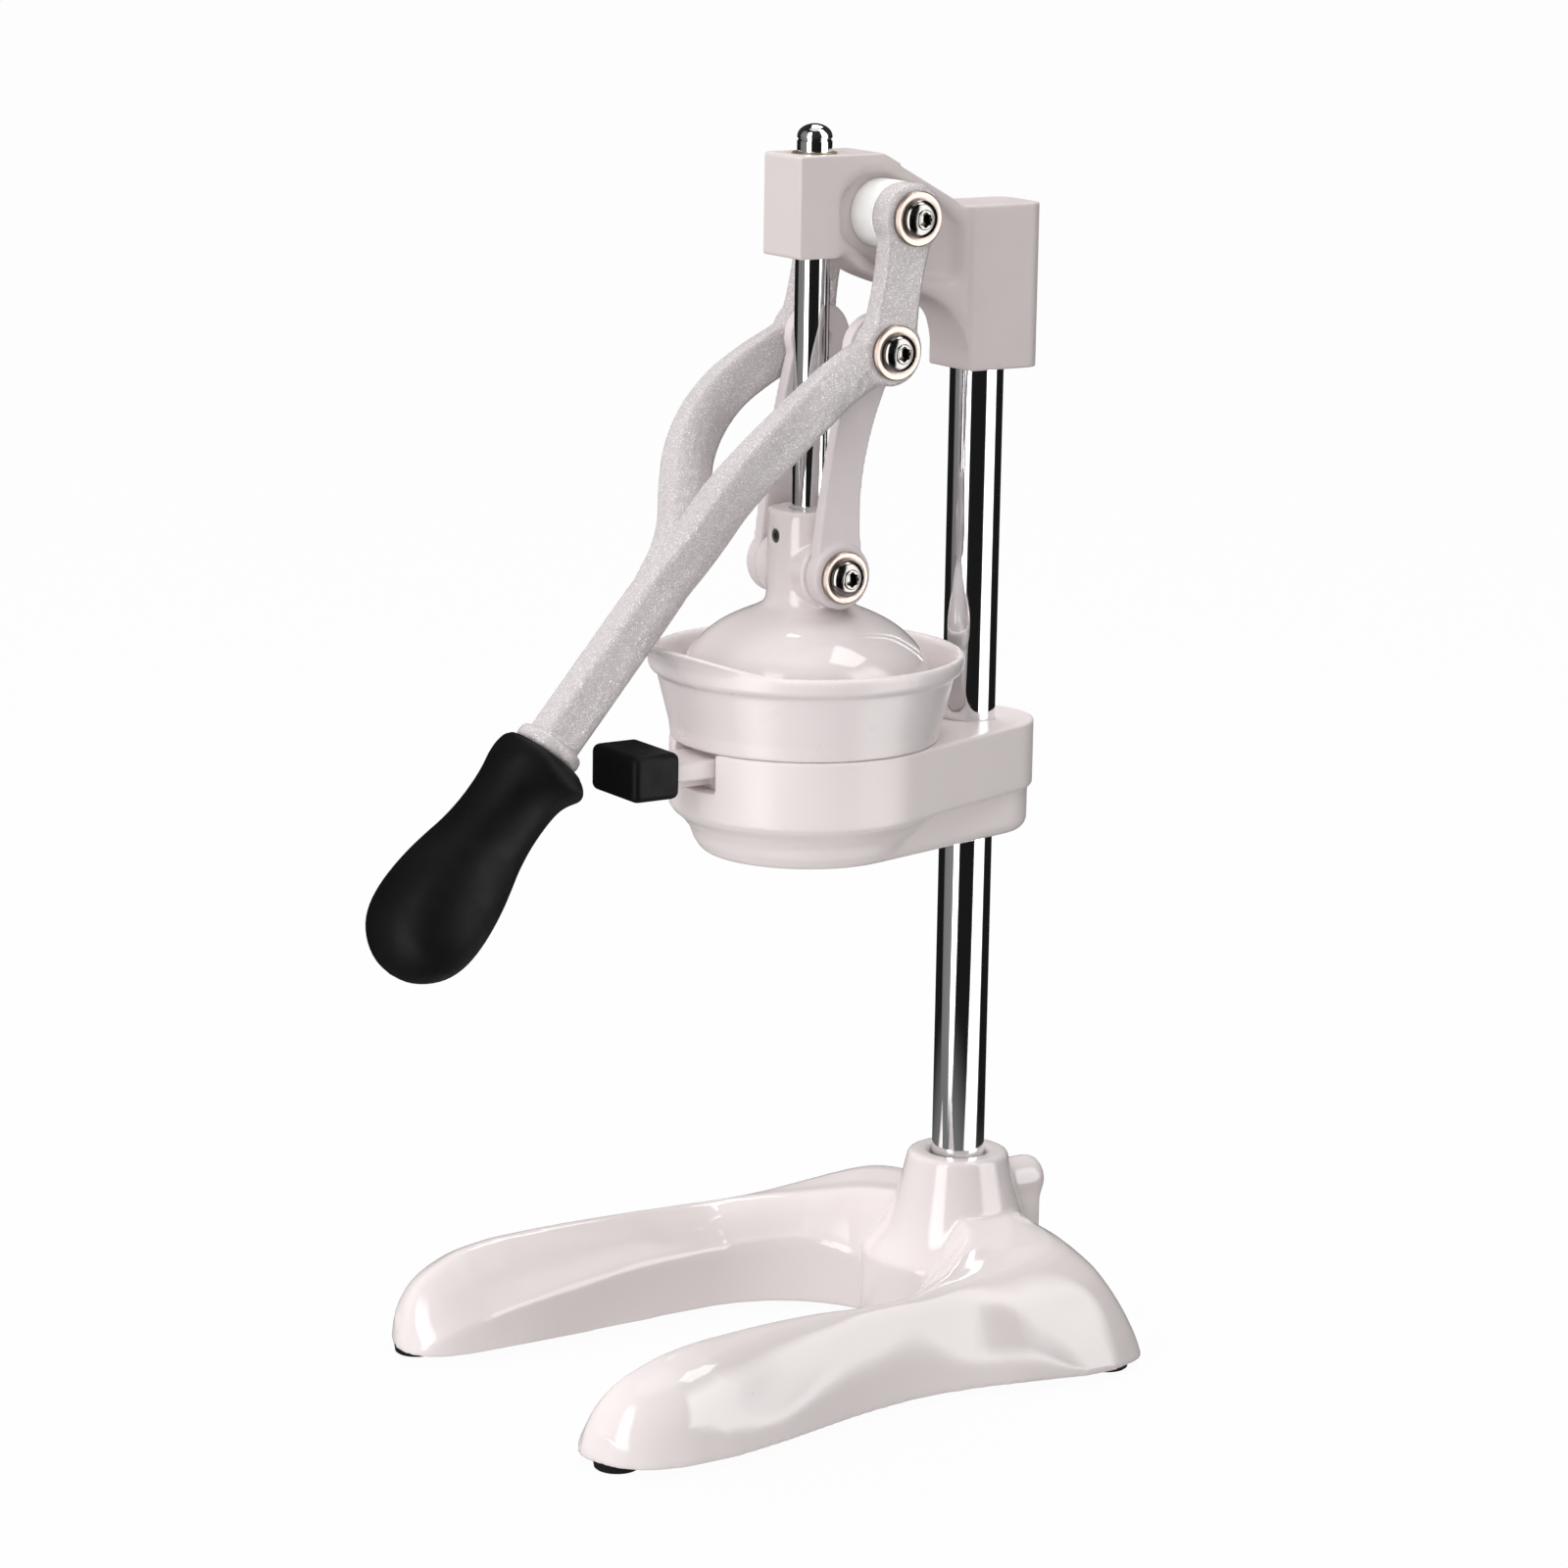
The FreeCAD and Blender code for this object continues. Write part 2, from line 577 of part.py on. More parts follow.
def head_bracket():
    half = 12.4
    body = head_profile(-half).extrude(V(2 * half, 0, 0))
    column_block = box(-13.5, 13.5, -12.6, 19.9, 371.5, 432.4)
    rear_edges = edges_at(column_block, lambda b: b.ZLength > 60 and b.YMin > 19)
    column_block = fillet_or_same(column_block, rear_edges, 6.0)
    rear = body.common(box(-20, 20, -12.6, 30, 360, 440))
    body = body.cut(rear).fuse(column_block)
    for side in both_sides(head_pocket(8.0, 20.0)):
        body = body.cut(side)
    body = body.cut(cyl(COLUMN_R + 0.1, 60.0, V(0, 0, 364.5)))
    body = body.cut(cyl(8.1, 60.0, V(0, PRESS_Y, 405)))
    body = body.cut(xcyl(AXLE_R + 0.1, -30, 30, PIVOT_HEAD))
    for z in (386.0, 410.0):
        body = body.cut(cyl(4.1, 30, V(0, 8, z), V(0, 1, 0)))
    return body.removeSplitter()


def head_clamp_screws():
    return Part.makeCompound([grub_screw(4.0, 8.0, V(0, 10.3, z), V(0, 1, 0)) for z in (386.0, 410.0)])


def rod_guide_bushes():
    bushes = []
    for z0, z1 in ((416.0, 430.0), (440.0, 453.4)):
        bush = cyl(8.0, z1 - z0, V(0, PRESS_Y, z0))
        bushes.append(bush.cut(cyl(ROD_R + FIT, 60, V(0, PRESS_Y, 405))))
    return Part.makeCompound(bushes)


def pivot_axle():
    axle = xcyl(AXLE_R, -ARM_OUT - 0.2, ARM_OUT + 0.2, PIVOT_HEAD)
    for side in both_sides(xcyl(3.2, ARM_OUT - 14.0, ARM_OUT + 1.0, PIVOT_HEAD)):
        axle = axle.cut(side)
    return axle


def pivot_spacer_bushes():
    bush = xcyl(BOSS_R, 8.1, ARM_IN - GAP, PIVOT_HEAD).cut(xcyl(AXLE_R + 0.1, 0, 40, PIVOT_HEAD))
    return Part.makeCompound(both_sides(bush))


def head_pivot_washers():
    return Part.makeCompound(both_sides(washer(ARM_OUT + GAP, PIVOT_HEAD, 3.3)))


def head_pivot_screws():
    seat = ARM_OUT + GAP + WASHER_T + 0.1
    return Part.makeCompound(both_sides(button_screw(seat, ARM_OUT - 13.0, PIVOT_HEAD, 3.1)))


# ---- output -------------------------------------------------------------------------
NODES = {
    "base_casting": base_casting,
    "base_feet": base_feet,
    "foot_screws": foot_screws,
    "base_clamp_screw": base_clamp_screw,
    "column": column,
    "holder_bracket": holder_bracket,
    "holder_clamp_screws": holder_clamp_screws,
    "juice_bowl": juice_bowl,
    "bowl_tab_cap": bowl_tab_cap,
    "strainer": strainer,
    "reamer_cone": reamer_cone,
    "press_cup": press_cup,
    "press_rod": press_rod,
    "rod_set_screw": rod_set_screw,
    "press_pivot_washers": press_pivot_washers,
    "press_pivot_screws": press_pivot_screws,
    "link_right": link,
    "link_left": lambda: mirror_x(link()),
    "fork_handle": fork_handle,
    "handle_grip": handle_grip,
    "link_pivot_washers": link_pivot_washers,
    "link_pivot_screws": link_pivot_screws,
    "head_bracket": head_bracket,
    "head_clamp_screws": head_clamp_screws,
    "rod_guide_bushes": rod_guide_bushes,
    "pivot_axle": pivot_axle,
    "pivot_spacer_bushes": pivot_spacer_bushes,
    "head_pivot_washers": head_pivot_washers,
    "head_pivot_screws": head_pivot_screws,
}

os.makedirs("parts", exist_ok=True)
for name, make in NODES.items():
    shape = make()
    shape.translate(V(0, COLUMN_Y, 0))
    shape.exportStep("parts/" + name + ".step")
    b = shape.BoundBox
    print("%-22s solids %d valid %s vol %.1f cm3  x %.1f..%.1f  y %.1f..%.1f  z %.1f..%.1f" % (
        name, len(shape.Solids), shape.isValid(), shape.Volume / 1000, b.XMin, b.XMax, b.YMin, b.YMax, b.ZMin, b.ZMax))
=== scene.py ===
import json
import math

import bmesh
import bpy
from mathutils import Matrix, Vector


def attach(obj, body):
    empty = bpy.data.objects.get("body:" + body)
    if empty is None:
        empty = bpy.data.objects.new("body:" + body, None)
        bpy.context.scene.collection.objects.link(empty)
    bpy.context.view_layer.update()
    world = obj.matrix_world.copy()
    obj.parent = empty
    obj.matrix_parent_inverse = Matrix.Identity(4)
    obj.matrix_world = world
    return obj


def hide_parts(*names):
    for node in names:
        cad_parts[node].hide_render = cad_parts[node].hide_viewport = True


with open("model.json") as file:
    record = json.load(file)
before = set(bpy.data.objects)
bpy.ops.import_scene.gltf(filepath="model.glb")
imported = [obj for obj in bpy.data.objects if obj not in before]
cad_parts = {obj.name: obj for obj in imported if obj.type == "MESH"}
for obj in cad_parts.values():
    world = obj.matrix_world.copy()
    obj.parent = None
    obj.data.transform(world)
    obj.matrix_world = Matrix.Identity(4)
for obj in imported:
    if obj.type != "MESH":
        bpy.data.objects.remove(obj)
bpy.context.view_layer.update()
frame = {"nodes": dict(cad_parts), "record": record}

NODES = frame["nodes"]
MM = 0.001                # metres in a millimetre

UP = (0, 0, 1)
FRONT = (0, -1, 0)
RIGHT = (1, 0, 0)

# ---- places on the object: millimetres, with y counted from the column's axis -----------
COLUMN_Y = 108.375                # column's axis, counted from the frame's origin
PRESS_Y = -73.8                   # axis of the rod, cup and bowl
PIVOT_HEAD = (-50.9, 431.4)       # pivots as (y, z)
PIVOT_FORK = (-58.8, 383.6)
PIVOT_PRESS = (-73.8, 301.6)
HEAD_BORE = 6.1                   # radii of the bores through the fork's eyes
FORK_BORE = 5.1
ARM_IN = 22.0                     # the fork's eyes lie between these x
ARM_OUT = 31.8
BOSS_R = 12.5
BAR_TILT = math.radians(40.7)     # handle bar, from straight down towards the front
COLLAR = (-183.4, 245.0)          # middle of the collar above the grip, as (y, z)
BASE_Z = 3.2                      # underside of the base casting, on its feet
BEND_Y = -78.0                    # centre of the base's round end
COLUMN_R = 10.0
COLUMN_ENDS = (13, 424)
ROD_R = 6.4
ROD_ENDS = (292.2, 463.5)

# ---- camera: metres, about the column's foot ---------------------------------------------
VIEW_AZIMUTH = math.radians(56.74)
VIEW_PITCH = math.radians(12.45)
VIEW_ROLL = math.radians(0.93)
VIEW_DISTANCE = 1.84174
VIEW_OFFSET = -0.06903
VIEW_HEIGHT = 0.61792
LENS = 114.54
SENSOR = 36.0


def make_camera():
    """Long lens at the photograph's height and angle, with its slight roll."""
    a, p, r = VIEW_AZIMUTH, VIEW_PITCH, VIEW_ROLL
    right = Vector((math.cos(a), math.sin(a), 0))
    ahead = Vector((-math.sin(a) * math.cos(p), math.cos(a) * math.cos(p), -math.sin(p)))
    up = right.cross(ahead)
    place = Vector((math.sin(a), -math.cos(a), 0)) * VIEW_DISTANCE + right * VIEW_OFFSET
    place += Vector((0, COLUMN_Y * MM, VIEW_HEIGHT))
    rolled_right = right * math.cos(r) + up * math.sin(r)
    rolled_up = up * math.cos(r) - right * math.sin(r)
    cam = bpy.data.cameras.new("camera")
    cam.lens = LENS
    cam.sensor_width = SENSOR
    cam.clip_end = 50.0
    ob = bpy.data.objects.new("camera", cam)
    bpy.context.scene.collection.objects.link(ob)
    turn = Matrix((rolled_right, rolled_up, -ahead)).transposed().to_4x4()
    ob.matrix_world = Matrix.Translation(place) @ turn
    bpy.context.scene.camera = ob


# ---- node helpers --------------------------------------------------------------------
class Graph:
    """Small wrapper for building one node tree."""

    def __init__(self, tree):
        self.tree = tree
        self.nodes = tree.nodes

    @classmethod
    def material(cls, name):
        """Starts a material; coords are the object's own, so textures ride on the piece."""
        mat = bpy.data.materials.new(name)
        mat.use_nodes = True
        g = cls(mat.node_tree)
        g.mat = mat
        g.shader = g.nodes["Principled BSDF"]
        g.coords = g.nodes.new("ShaderNodeTexCoord").outputs["Object"]
        return g

    def link(self, a, b):
        """Joins an output to an input."""
        self.tree.links.new(a, b)

    def put(self, **values):
        """Sets the shader's own sockets."""
        for key, value in values.items():
            self.shader.inputs[key.replace("_", " ")].default_value = value

    def noise(self, scale, detail=2.0, vector=None):
        """Noise, by default in the object's own coordinates; scale counts per metre."""
        n = self.nodes.new("ShaderNodeTexNoise")
        n.inputs["Scale"].default_value = scale
        n.inputs["Detail"].default_value = detail
        self.link(vector or self.coords, n.inputs["Vector"])
        return n.outputs["Fac"]

    def cells(self, scale, feature="F1"):
        """Distance to the nearest of scattered points."""
        n = self.nodes.new("ShaderNodeTexVoronoi")
        n.feature = feature
        n.inputs["Scale"].default_value = scale
        self.link(self.coords, n.inputs["Vector"])
        return n.outputs["Distance"]

    def mapped(self, vector, scale=(1, 1, 1), turn=0.0):
        """A vector stretched, and turned about Z."""
        n = self.nodes.new("ShaderNodeMapping")
        n.inputs["Scale"].default_value = scale
        n.inputs["Rotation"].default_value = (0, 0, turn)
        self.link(vector, n.inputs["Vector"])
        return n.outputs["Vector"]

    def span(self, value, low, high, to_low, to_high, smooth=False):
        """Carries the range low..high over to to_low..to_high."""
        n = self.nodes.new("ShaderNodeMapRange")
        n.interpolation_type = "SMOOTHSTEP" if smooth else "LINEAR"
        n.inputs["From Min"].default_value = low
        n.inputs["From Max"].default_value = high
        n.inputs["To Min"].default_value = to_low
        n.inputs["To Max"].default_value = to_high
        self.link(value, n.inputs["Value"])
        return n.outputs["Result"]

    def math(self, kind, a, b):
        """Sum or product of two values, each a number or an output."""
        n = self.nodes.new("ShaderNodeMath")
        n.operation = kind
        for socket, value in zip(n.inputs, (a, b)):
            if isinstance(value, (int, float)):
                socket.default_value = value
            else:
                self.link(value, socket)
        return n.outputs[0]

    def vector(self, kind, a, b=None):
        """Length of a vector, or its dot product with a fixed one."""
        n = self.nodes.new("ShaderNodeVectorMath")
        n.operation = kind
        self.link(a, n.inputs[0])
        if b is not None:
            n.inputs[1].default_value = b
        return n.outputs["Value"]

    def split(self, vector):
        """X, Y and Z of a vector."""
        n = self.nodes.new("ShaderNodeSeparateXYZ")
        self.link(vector, n.inputs[0])
        return n.outputs

    def blend(self, fac, a, b):
        """Mix of two colours, each fixed or an output."""
        n = self.nodes.new("ShaderNodeMix")
        n.data_type = "RGBA"
        for key, value in (("A", a), ("B", b)):
            if isinstance(value, tuple):
                n.inputs[key].default_value = (*value, 1)
            else:
                self.link(value, n.inputs[key])
        self.link(fac, n.inputs["Factor"])
        return n.outputs["Result"]

    def bump(self, height, strength, distance, normal=None):
        """Normal tilted by a height map, on top of another one if given."""
        n = self.nodes.new("ShaderNodeBump")
        n.inputs["Strength"].default_value = strength
        n.inputs["Distance"].default_value = distance
        self.link(height, n.inputs["Height"])
        if normal is not None:
            self.link(normal, n.inputs["Normal"])
        return n.outputs["Normal"]

    def to(self, name, output):
        """Feeds one of the shader's sockets."""
        self.link(output, self.shader.inputs[name])


# ---- materials -----------------------------------------------------------------------
def enamel(name, light, dark, rough=0.06, peel=0.04, spec=0.5):
    """Sprayed glossy enamel: faint colour drift, orange peel and a few stray specks."""
    g = Graph.material(name)
    paint = g.blend(g.span(g.noise(9.0, 3.0), 0.35, 0.65, 0.0, 1.0), light, dark)
    specks = g.span(g.cells(46.0), 0.014, 0.024, 0.30, 0.0)
    g.to("Base Color", g.blend(specks, paint, (0.30, 0.27, 0.26)))
    g.to("Roughness", g.span(g.noise(60.0, 2.0), 0.3, 0.7, rough - 0.02, rough + 0.04))
    peel_bump = g.bump(g.noise(380.0, 1.5), peel, 0.0002)
    g.to("Normal", g.bump(g.noise(26.0, 1.0), 0.08, 0.001, peel_bump))
    g.put(Specular_IOR_Level=spec)
    return g.mat


def hammertone(name, light, dark):
    """Hammered paint: small dimples, pits along the casting and fine bright flakes."""
    g = Graph.material(name)
    flakes = g.span(g.noise(2300.0, 1.0), 0.58, 0.68, 0.0, 1.0)
    tone = g.blend(g.span(g.noise(480.0, 3.0), 0.32, 0.68, 0.0, 1.0), light, dark)
    g.to("Base Color", g.blend(flakes, tone, (0.90, 0.89, 0.90)))
    g.to("Metallic", g.span(flakes, 0.0, 1.0, 0.0, 0.12))
    g.to("Roughness", g.span(g.noise(900.0, 2.0), 0.3, 0.7, 0.22, 0.42))
    fine = g.bump(g.noise(1100.0, 2.0), 0.40, 0.0003)
    g.to("Normal", g.bump(g.cells(300.0, "SMOOTH_F1"), 0.40, 0.0008, fine))
    g.put(Specular_IOR_Level=0.28)
    return g.mat


def powder(name, light, dark, rough, grain, depth):
    """Satin paint with a fine texture."""
    g = Graph.material(name)
    g.to("Base Color", g.blend(g.span(g.noise(30.0, 4.0), 0.3, 0.7, 0.0, 1.0), light, dark))
    g.to("Roughness", g.span(g.noise(200.0, 2.0), 0.3, 0.7, rough - 0.05, rough + 0.08))
    g.to("Normal", g.bump(g.noise(grain, 2.0), depth, 0.00025))
    g.put(Specular_IOR_Level=0.16)
    return g.mat


def chrome(name, tint, rough, streak):
    """Polished bar with faint lengthwise polishing streaks."""
    g = Graph.material(name)
    lines = g.noise(60.0, 3.0, vector=g.mapped(g.coords, (14.0, 14.0, 0.5)))
    g.to("Roughness", g.span(lines, 0.3, 0.7, rough, rough + 0.05))
    g.to("Base Color", g.blend(lines, tint, tuple(c * 0.93 for c in tint)))
    g.to("Normal", g.bump(lines, streak, 0.0001))
    g.put(Metallic=1.0)
    return g.mat


def turned_metal(name, tint, rough, marks_depth=0.08):
    """Machined face with fine marks."""
    g = Graph.material(name)
    marks = g.noise(900.0, 3.0)
    g.to("Roughness", g.span(marks, 0.3, 0.7, rough, rough + 0.12))
    g.to("Base Color", g.blend(marks, tint, tuple(c * 0.86 for c in tint)))
    g.to("Normal", g.bump(marks, marks_depth, 0.0001))
    g.put(Metallic=1.0)
    return g.mat


def black_plastic(name, rough, grain, depth, spec):
    """Moulded black with a very fine spark-eroded grain."""
    g = Graph.material(name)
    tones = (0.0035, 0.0032, 0.0035), (0.008, 0.0075, 0.008)
    g.to("Base Color", g.blend(g.noise(40.0, 3.0), *tones))
    g.to("Roughness", g.span(g.noise(120.0, 3.0), 0.3, 0.7, rough - 0.05, rough + 0.08))
    g.to("Normal", g.bump(g.noise(grain, 2.0), depth, 0.0002))
    g.put(Specular_IOR_Level=spec)
    return g.mat


def nylon(name):
    """Turned off-white plastic."""
    g = Graph.material(name)
    g.to("Base Color", g.blend(g.noise(50.0, 3.0), (0.80, 0.80, 0.78), (0.87, 0.87, 0.85)))
    g.to("Roughness", g.span(g.noise(300.0, 2.0), 0.3, 0.7, 0.3, 0.42))
    g.to("Normal", g.bump(g.noise(700.0, 2.0), 0.1, 0.0002))
    g.put(Subsurface_Weight=0.1, Subsurface_Scale=0.002)
    return g.mat


# One material for each slot of the record.
MATERIALS = {
    "base_enamel": enamel("base_enamel", (0.80, 0.735, 0.725), (0.78, 0.715, 0.71)),
    "holder_enamel": enamel("holder_enamel", (0.87, 0.80, 0.79), (0.855, 0.785, 0.775), 0.34, 0.08, 0.35),
    "bowl_enamel": enamel("bowl_enamel", (0.85, 0.785, 0.78), (0.835, 0.77, 0.765), 0.28, 0.06, 0.35),
    "cup_enamel": enamel("cup_enamel", (0.77, 0.71, 0.705), (0.755, 0.695, 0.69)),
    "head_paint": powder("head_paint", (0.63, 0.57, 0.56), (0.61, 0.55, 0.545), 0.36, 500.0, 0.12),
    "fork_hammertone": hammertone("fork_hammertone", (0.555, 0.51, 0.51), (0.50, 0.455, 0.455)),
    "link_paint": powder("link_paint", (0.72, 0.655, 0.66), (0.69, 0.625, 0.63), 0.42, 900.0, 0.3),
    "chrome": chrome("chrome", (0.80, 0.80, 0.81), 0.035, 0.03),
    "screw_steel": turned_metal("screw_steel", (0.42, 0.40, 0.39), 0.38),
    "screw_polished": turned_metal("screw_polished", (0.21, 0.20, 0.19), 0.07, 0.03),
    "washer_nickel": turned_metal("washer_nickel", (0.38, 0.31, 0.275), 0.34),
    "axle_steel": turned_metal("axle_steel", (0.6, 0.6, 0.61), 0.25),
    "strainer_steel": turned_metal("strainer_steel", (0.72, 0.72, 0.73), 0.22),
    "cone_metal": turned_metal("cone_metal", (0.78, 0.78, 0.79), 0.3),
    "bush_brass": turned_metal("bush_brass", (0.30, 0.24, 0.17), 0.45),
    "bush_nylon": nylon("bush_nylon"),
    "grip_plastic": black_plastic("grip_plastic", 0.46, 900.0, 0.10, 0.08),
    "cap_rubber": black_plastic("cap_rubber", 0.46, 900.0, 0.10, 0.08),
    "foot_rubber": black_plastic("foot_rubber", 0.6, 500.0, 0.2, 0.3),
}


def dress_nodes():
    """Gives every CAD node the material of its slot."""
    for part in frame["record"]["subparts"]:
        ob = NODES[part["node"]]
        ob.data.materials.clear()
        ob.data.materials.append(MATERIALS[part["material_slot"]])


# ---- putting pieces on the frame -----------------------------------------------------
def body_of_node(node):
    """Name of the moving body that a CAD node belongs to."""
    for body, names in frame["record"]["behaviour"]["bodies"].items():
        if node in names:
            return body
    raise KeyError(node)


def slot_of_node(node):
    """Material slot of a CAD node."""
    for part in frame["record"]["subparts"]:
        if part["node"] == node:
            return part["material_slot"]
    raise KeyError(node)


def stand_in(ob, node, sharp=None):
    """Shows a finished piece in place of a CAD node, with the same body and finish.

    Edges sharper than the angle, in degrees, stay crisp; without one all is smooth."""
    name = slot_of_node(node)
    ob.data.materials.clear()
    ob.data.materials.append(MATERIALS[name])
    ob.data.polygons.foreach_set("use_smooth", [True] * len(ob.data.polygons))
    if sharp:
        ob.data.set_sharp_from_angle(angle=math.radians(sharp))
    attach(ob, body_of_node(node))
    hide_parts(node)
    return ob


# ---- mesh helpers --------------------------------------------------------------------
def at(x, y, z):
    """Point of the object, in metres, from millimetres about the column."""
    return Vector((x, y + COLUMN_Y, z)) * MM


def flow(points, steps):
    """Catmull-Rom curve through the points."""
    pts = [Vector(p) for p in points]
    ends = [pts[0] * 2 - pts[1]] + pts + [pts[-1] * 2 - pts[-2]]
    out = []
    for i in range(1, len(ends) - 2):
        p0, p1, p2, p3 = ends[i - 1:i + 3]
        for k in range(steps):
            t = k / steps
            out.append(0.5 * (2 * p1 + (p2 - p0) * t + (2 * p0 - 5 * p1 + 4 * p2 - p3) * t * t
                              + (3 * p1 - p0 - 3 * p2 + p3) * t ** 3))
    out.append(pts[-1])
    return out


def smoothstep(x, low, high):
    """0 below low, 1 above high, and a smooth rise between them."""
    t = min(1.0, max(0.0, (x - low) / (high - low)))
    return t * t * (3 - 2 * t)


def link_mesh(bm, name):
    """Object in the scene from a finished bmesh, with its faces turned outwards."""
    bmesh.ops.recalc_face_normals(bm, faces=bm.faces)
    mesh = bpy.data.meshes.new(name)
    bm.to_mesh(mesh)
    bm.free()
    ob = bpy.data.objects.new(name, mesh)
    bpy.context.scene.collection.objects.link(ob)
    return ob


def skin(bm, rings):
    """Closed skin over a row of sections, each a ring of (x, y, z) points."""
    rows = [[bm.verts.new(at(*point)) for point in ring] for ring in rings]
    count = len(rows[0])
    for a, b in zip(rows, rows[1:]):
        for j in range(count):
            k = (j + 1) % count
            bm.faces.new((a[j], a[k], b[k], b[j]))
    bm.faces.new(rows[0])
    bm.faces.new(list(reversed(rows[-1])))


ON_AXIS = 1e-6            # a smaller radius is a single point on the axis


def turned(bm, profile, origin, axis, zero, steps=96, shape=None):
    """Adds a turned solid: closed (r, s) profile in mm about an axis, angle 0 along zero.

    shape may move a point of the profile, as shape(r, s, angle)."""
    axis = Vector(axis).normalized()
    zero = Vector(zero).normalized()
    other = axis.cross(zero)
    columns = []
    for r, s in profile:
        ring = []
        for i in range(steps):
            ang = 2 * math.pi * i / steps
            rr, ss = shape(r, s, ang) if shape else (r, s)
            if r < ON_AXIS and ring:
                ring.append(ring[0])
                continue
            place = origin + (axis * ss + (zero * math.cos(ang) + other * math.sin(ang)) * rr) * MM
            ring.append(bm.verts.new(place))
        columns.append(ring)
    pairs = list(zip(columns, columns[1:]))
    if profile[0][0] > ON_AXIS:
        pairs.append((columns[-1], columns[0]))
    for a, b in pairs:
        for j in range(steps):
            k = (j + 1) % steps
            face = []
            for v in (a[j], a[k], b[k], b[j]):
                if v not in face:
                    face.append(v)
            if len(face) > 2:
                bm.faces.new(face)


def turned_piece(name, profile, origin, axis, zero, steps=96, shape=None):
    """Object with one turned solid."""
    bm = bmesh.new()
    turned(bm, profile, origin, axis, zero, steps, shape)
    return link_mesh(bm, name)


def baked(ob, name):
    """Replaces an object by the mesh that its modifiers give."""
    deps = bpy.context.evaluated_depsgraph_get()
    mesh = bpy.data.meshes.new_from_object(ob.evaluated_get(deps))
    out = bpy.data.objects.new(name, mesh)
    bpy.context.scene.collection.objects.link(out)
    bpy.data.objects.remove(ob)
    return out


def carve(ob, tool):
    """Cuts the tool away, exactly, and drops it."""
    cut = ob.modifiers.new("cut", "BOOLEAN")
    cut.operation = "DIFFERENCE"
    cut.solver = "EXACT"
    cut.object = tool
    out = baked(ob, ob.name + "_cut")
    bpy.data.objects.remove(tool)
    return out


def joined(objects, name):
    """One object with the meshes of several, which are dropped."""
    bm = bmesh.new()
    for ob in objects:
        bm.from_mesh(ob.data)
        bpy.data.objects.remove(ob)
    mesh = bpy.data.meshes.new(name)
    bm.to_mesh(mesh)
    bm.free()
    out = bpy.data.objects.new(name, mesh)
    bpy.context.scene.collection.objects.link(out)
    return out


RELAX = 0.5               # share of the way to its neighbours that a point moves in a pass


def relax(ob, passes, group=""):
    """Smooths the surface, all over or by a group's weights."""
    smooth = ob.modifiers.new("relax", "SMOOTH")
    smooth.factor = RELAX
    smooth.iterations = passes
    smooth.vertex_group = group


def cast_skin(ob, name, voxel, passes, soft=None, soft_passes=0):
    """One casting skin over overlapping solids: fine remesh, then relaxed edges and joints.

    soft(x, y, z) gives the share, 0 to 1, of extra relaxing that a place takes."""
    remesh = ob.modifiers.new("remesh", "REMESH")
    remesh.mode = "VOXEL"
    remesh.voxel_size = voxel * MM
    out = baked(ob, name)
    if soft:
        group = out.vertex_groups.new(name="soft")
        for v in out.data.vertices:
            weight = soft(v.co.x / MM, v.co.y / MM - COLUMN_Y, v.co.z / MM)
            if weight > 0:
                group.add([v.index], weight, "REPLACE")
        relax(out, soft_passes, group.name)
    relax(out, passes)
    return baked(out, name)


def node_copy(node):
    """Free copy of a CAD node's mesh, to work on."""
    ob = bpy.data.objects.new(node + "_copy", NODES[node].data.copy())
    bpy.context.scene.collection.objects.link(ob)
    return ob


def softened(node, name, voxel, passes, soft=None, soft_passes=0):
    """The node's own shape as a casting, with its edges rounded over."""
    casting = cast_skin(node_copy(node), name, voxel, passes, soft, soft_passes)
    return stand_in(casting, node)


# ---- base ----------------------------------------------------------------------------
# Sections across one leg, from its tip, and round half of the bend behind it. The first number is
# the place: y along the leg, or degrees round the bend. Then, counted outwards from the middle of
# the horseshoe: inner r and the z of its crease, ridge r and z, shoulder r and z, flank r and z,
# and outer r.
LEG = [
    (-206.6, 64.5, 4.6, 67.0, 7.0, 68.5, 6.6, 69.5, 5.6, 70.5),
    (-205.2, 60.5, 6.0, 67.5, 13.5, 71.5, 12.0, 74.0, 8.5, 75.5),
    (-201.5, 55.5, 8.5, 69.0, 22.5, 76.5, 19.5, 81.5, 12.5, 83.5),
    (-193.5, 51.5, 12.5, 70.0, 30.5, 80.5, 26.5, 87.5, 16.0, 90.5),
    (-180.0, 50.0, 16.5, 71.0, 36.5, 83.5, 31.5, 91.5, 20.0, 94.3),
    (-168.0, 50.0, 19.0, 70.8, 39.0, 83.0, 34.0, 91.2, 22.5, 94.4),
    (-158.0, 50.0, 20.5, 70.5, 40.0, 81.5, 35.6, 89.5, 24.5, 93.8),
    (-135.0, 50.5, 23.5, 69.5, 41.0, 77.5, 37.6, 83.0, 29.5, 89.5),
    (-110.0, 51.5, 26.0, 69.0, 41.0, 75.0, 38.2, 78.0, 32.5, 83.2),
    (-90.0, 52.0, 26.5, 70.0, 40.5, 73.2, 38.4, 74.8, 33.5, 79.0),
]
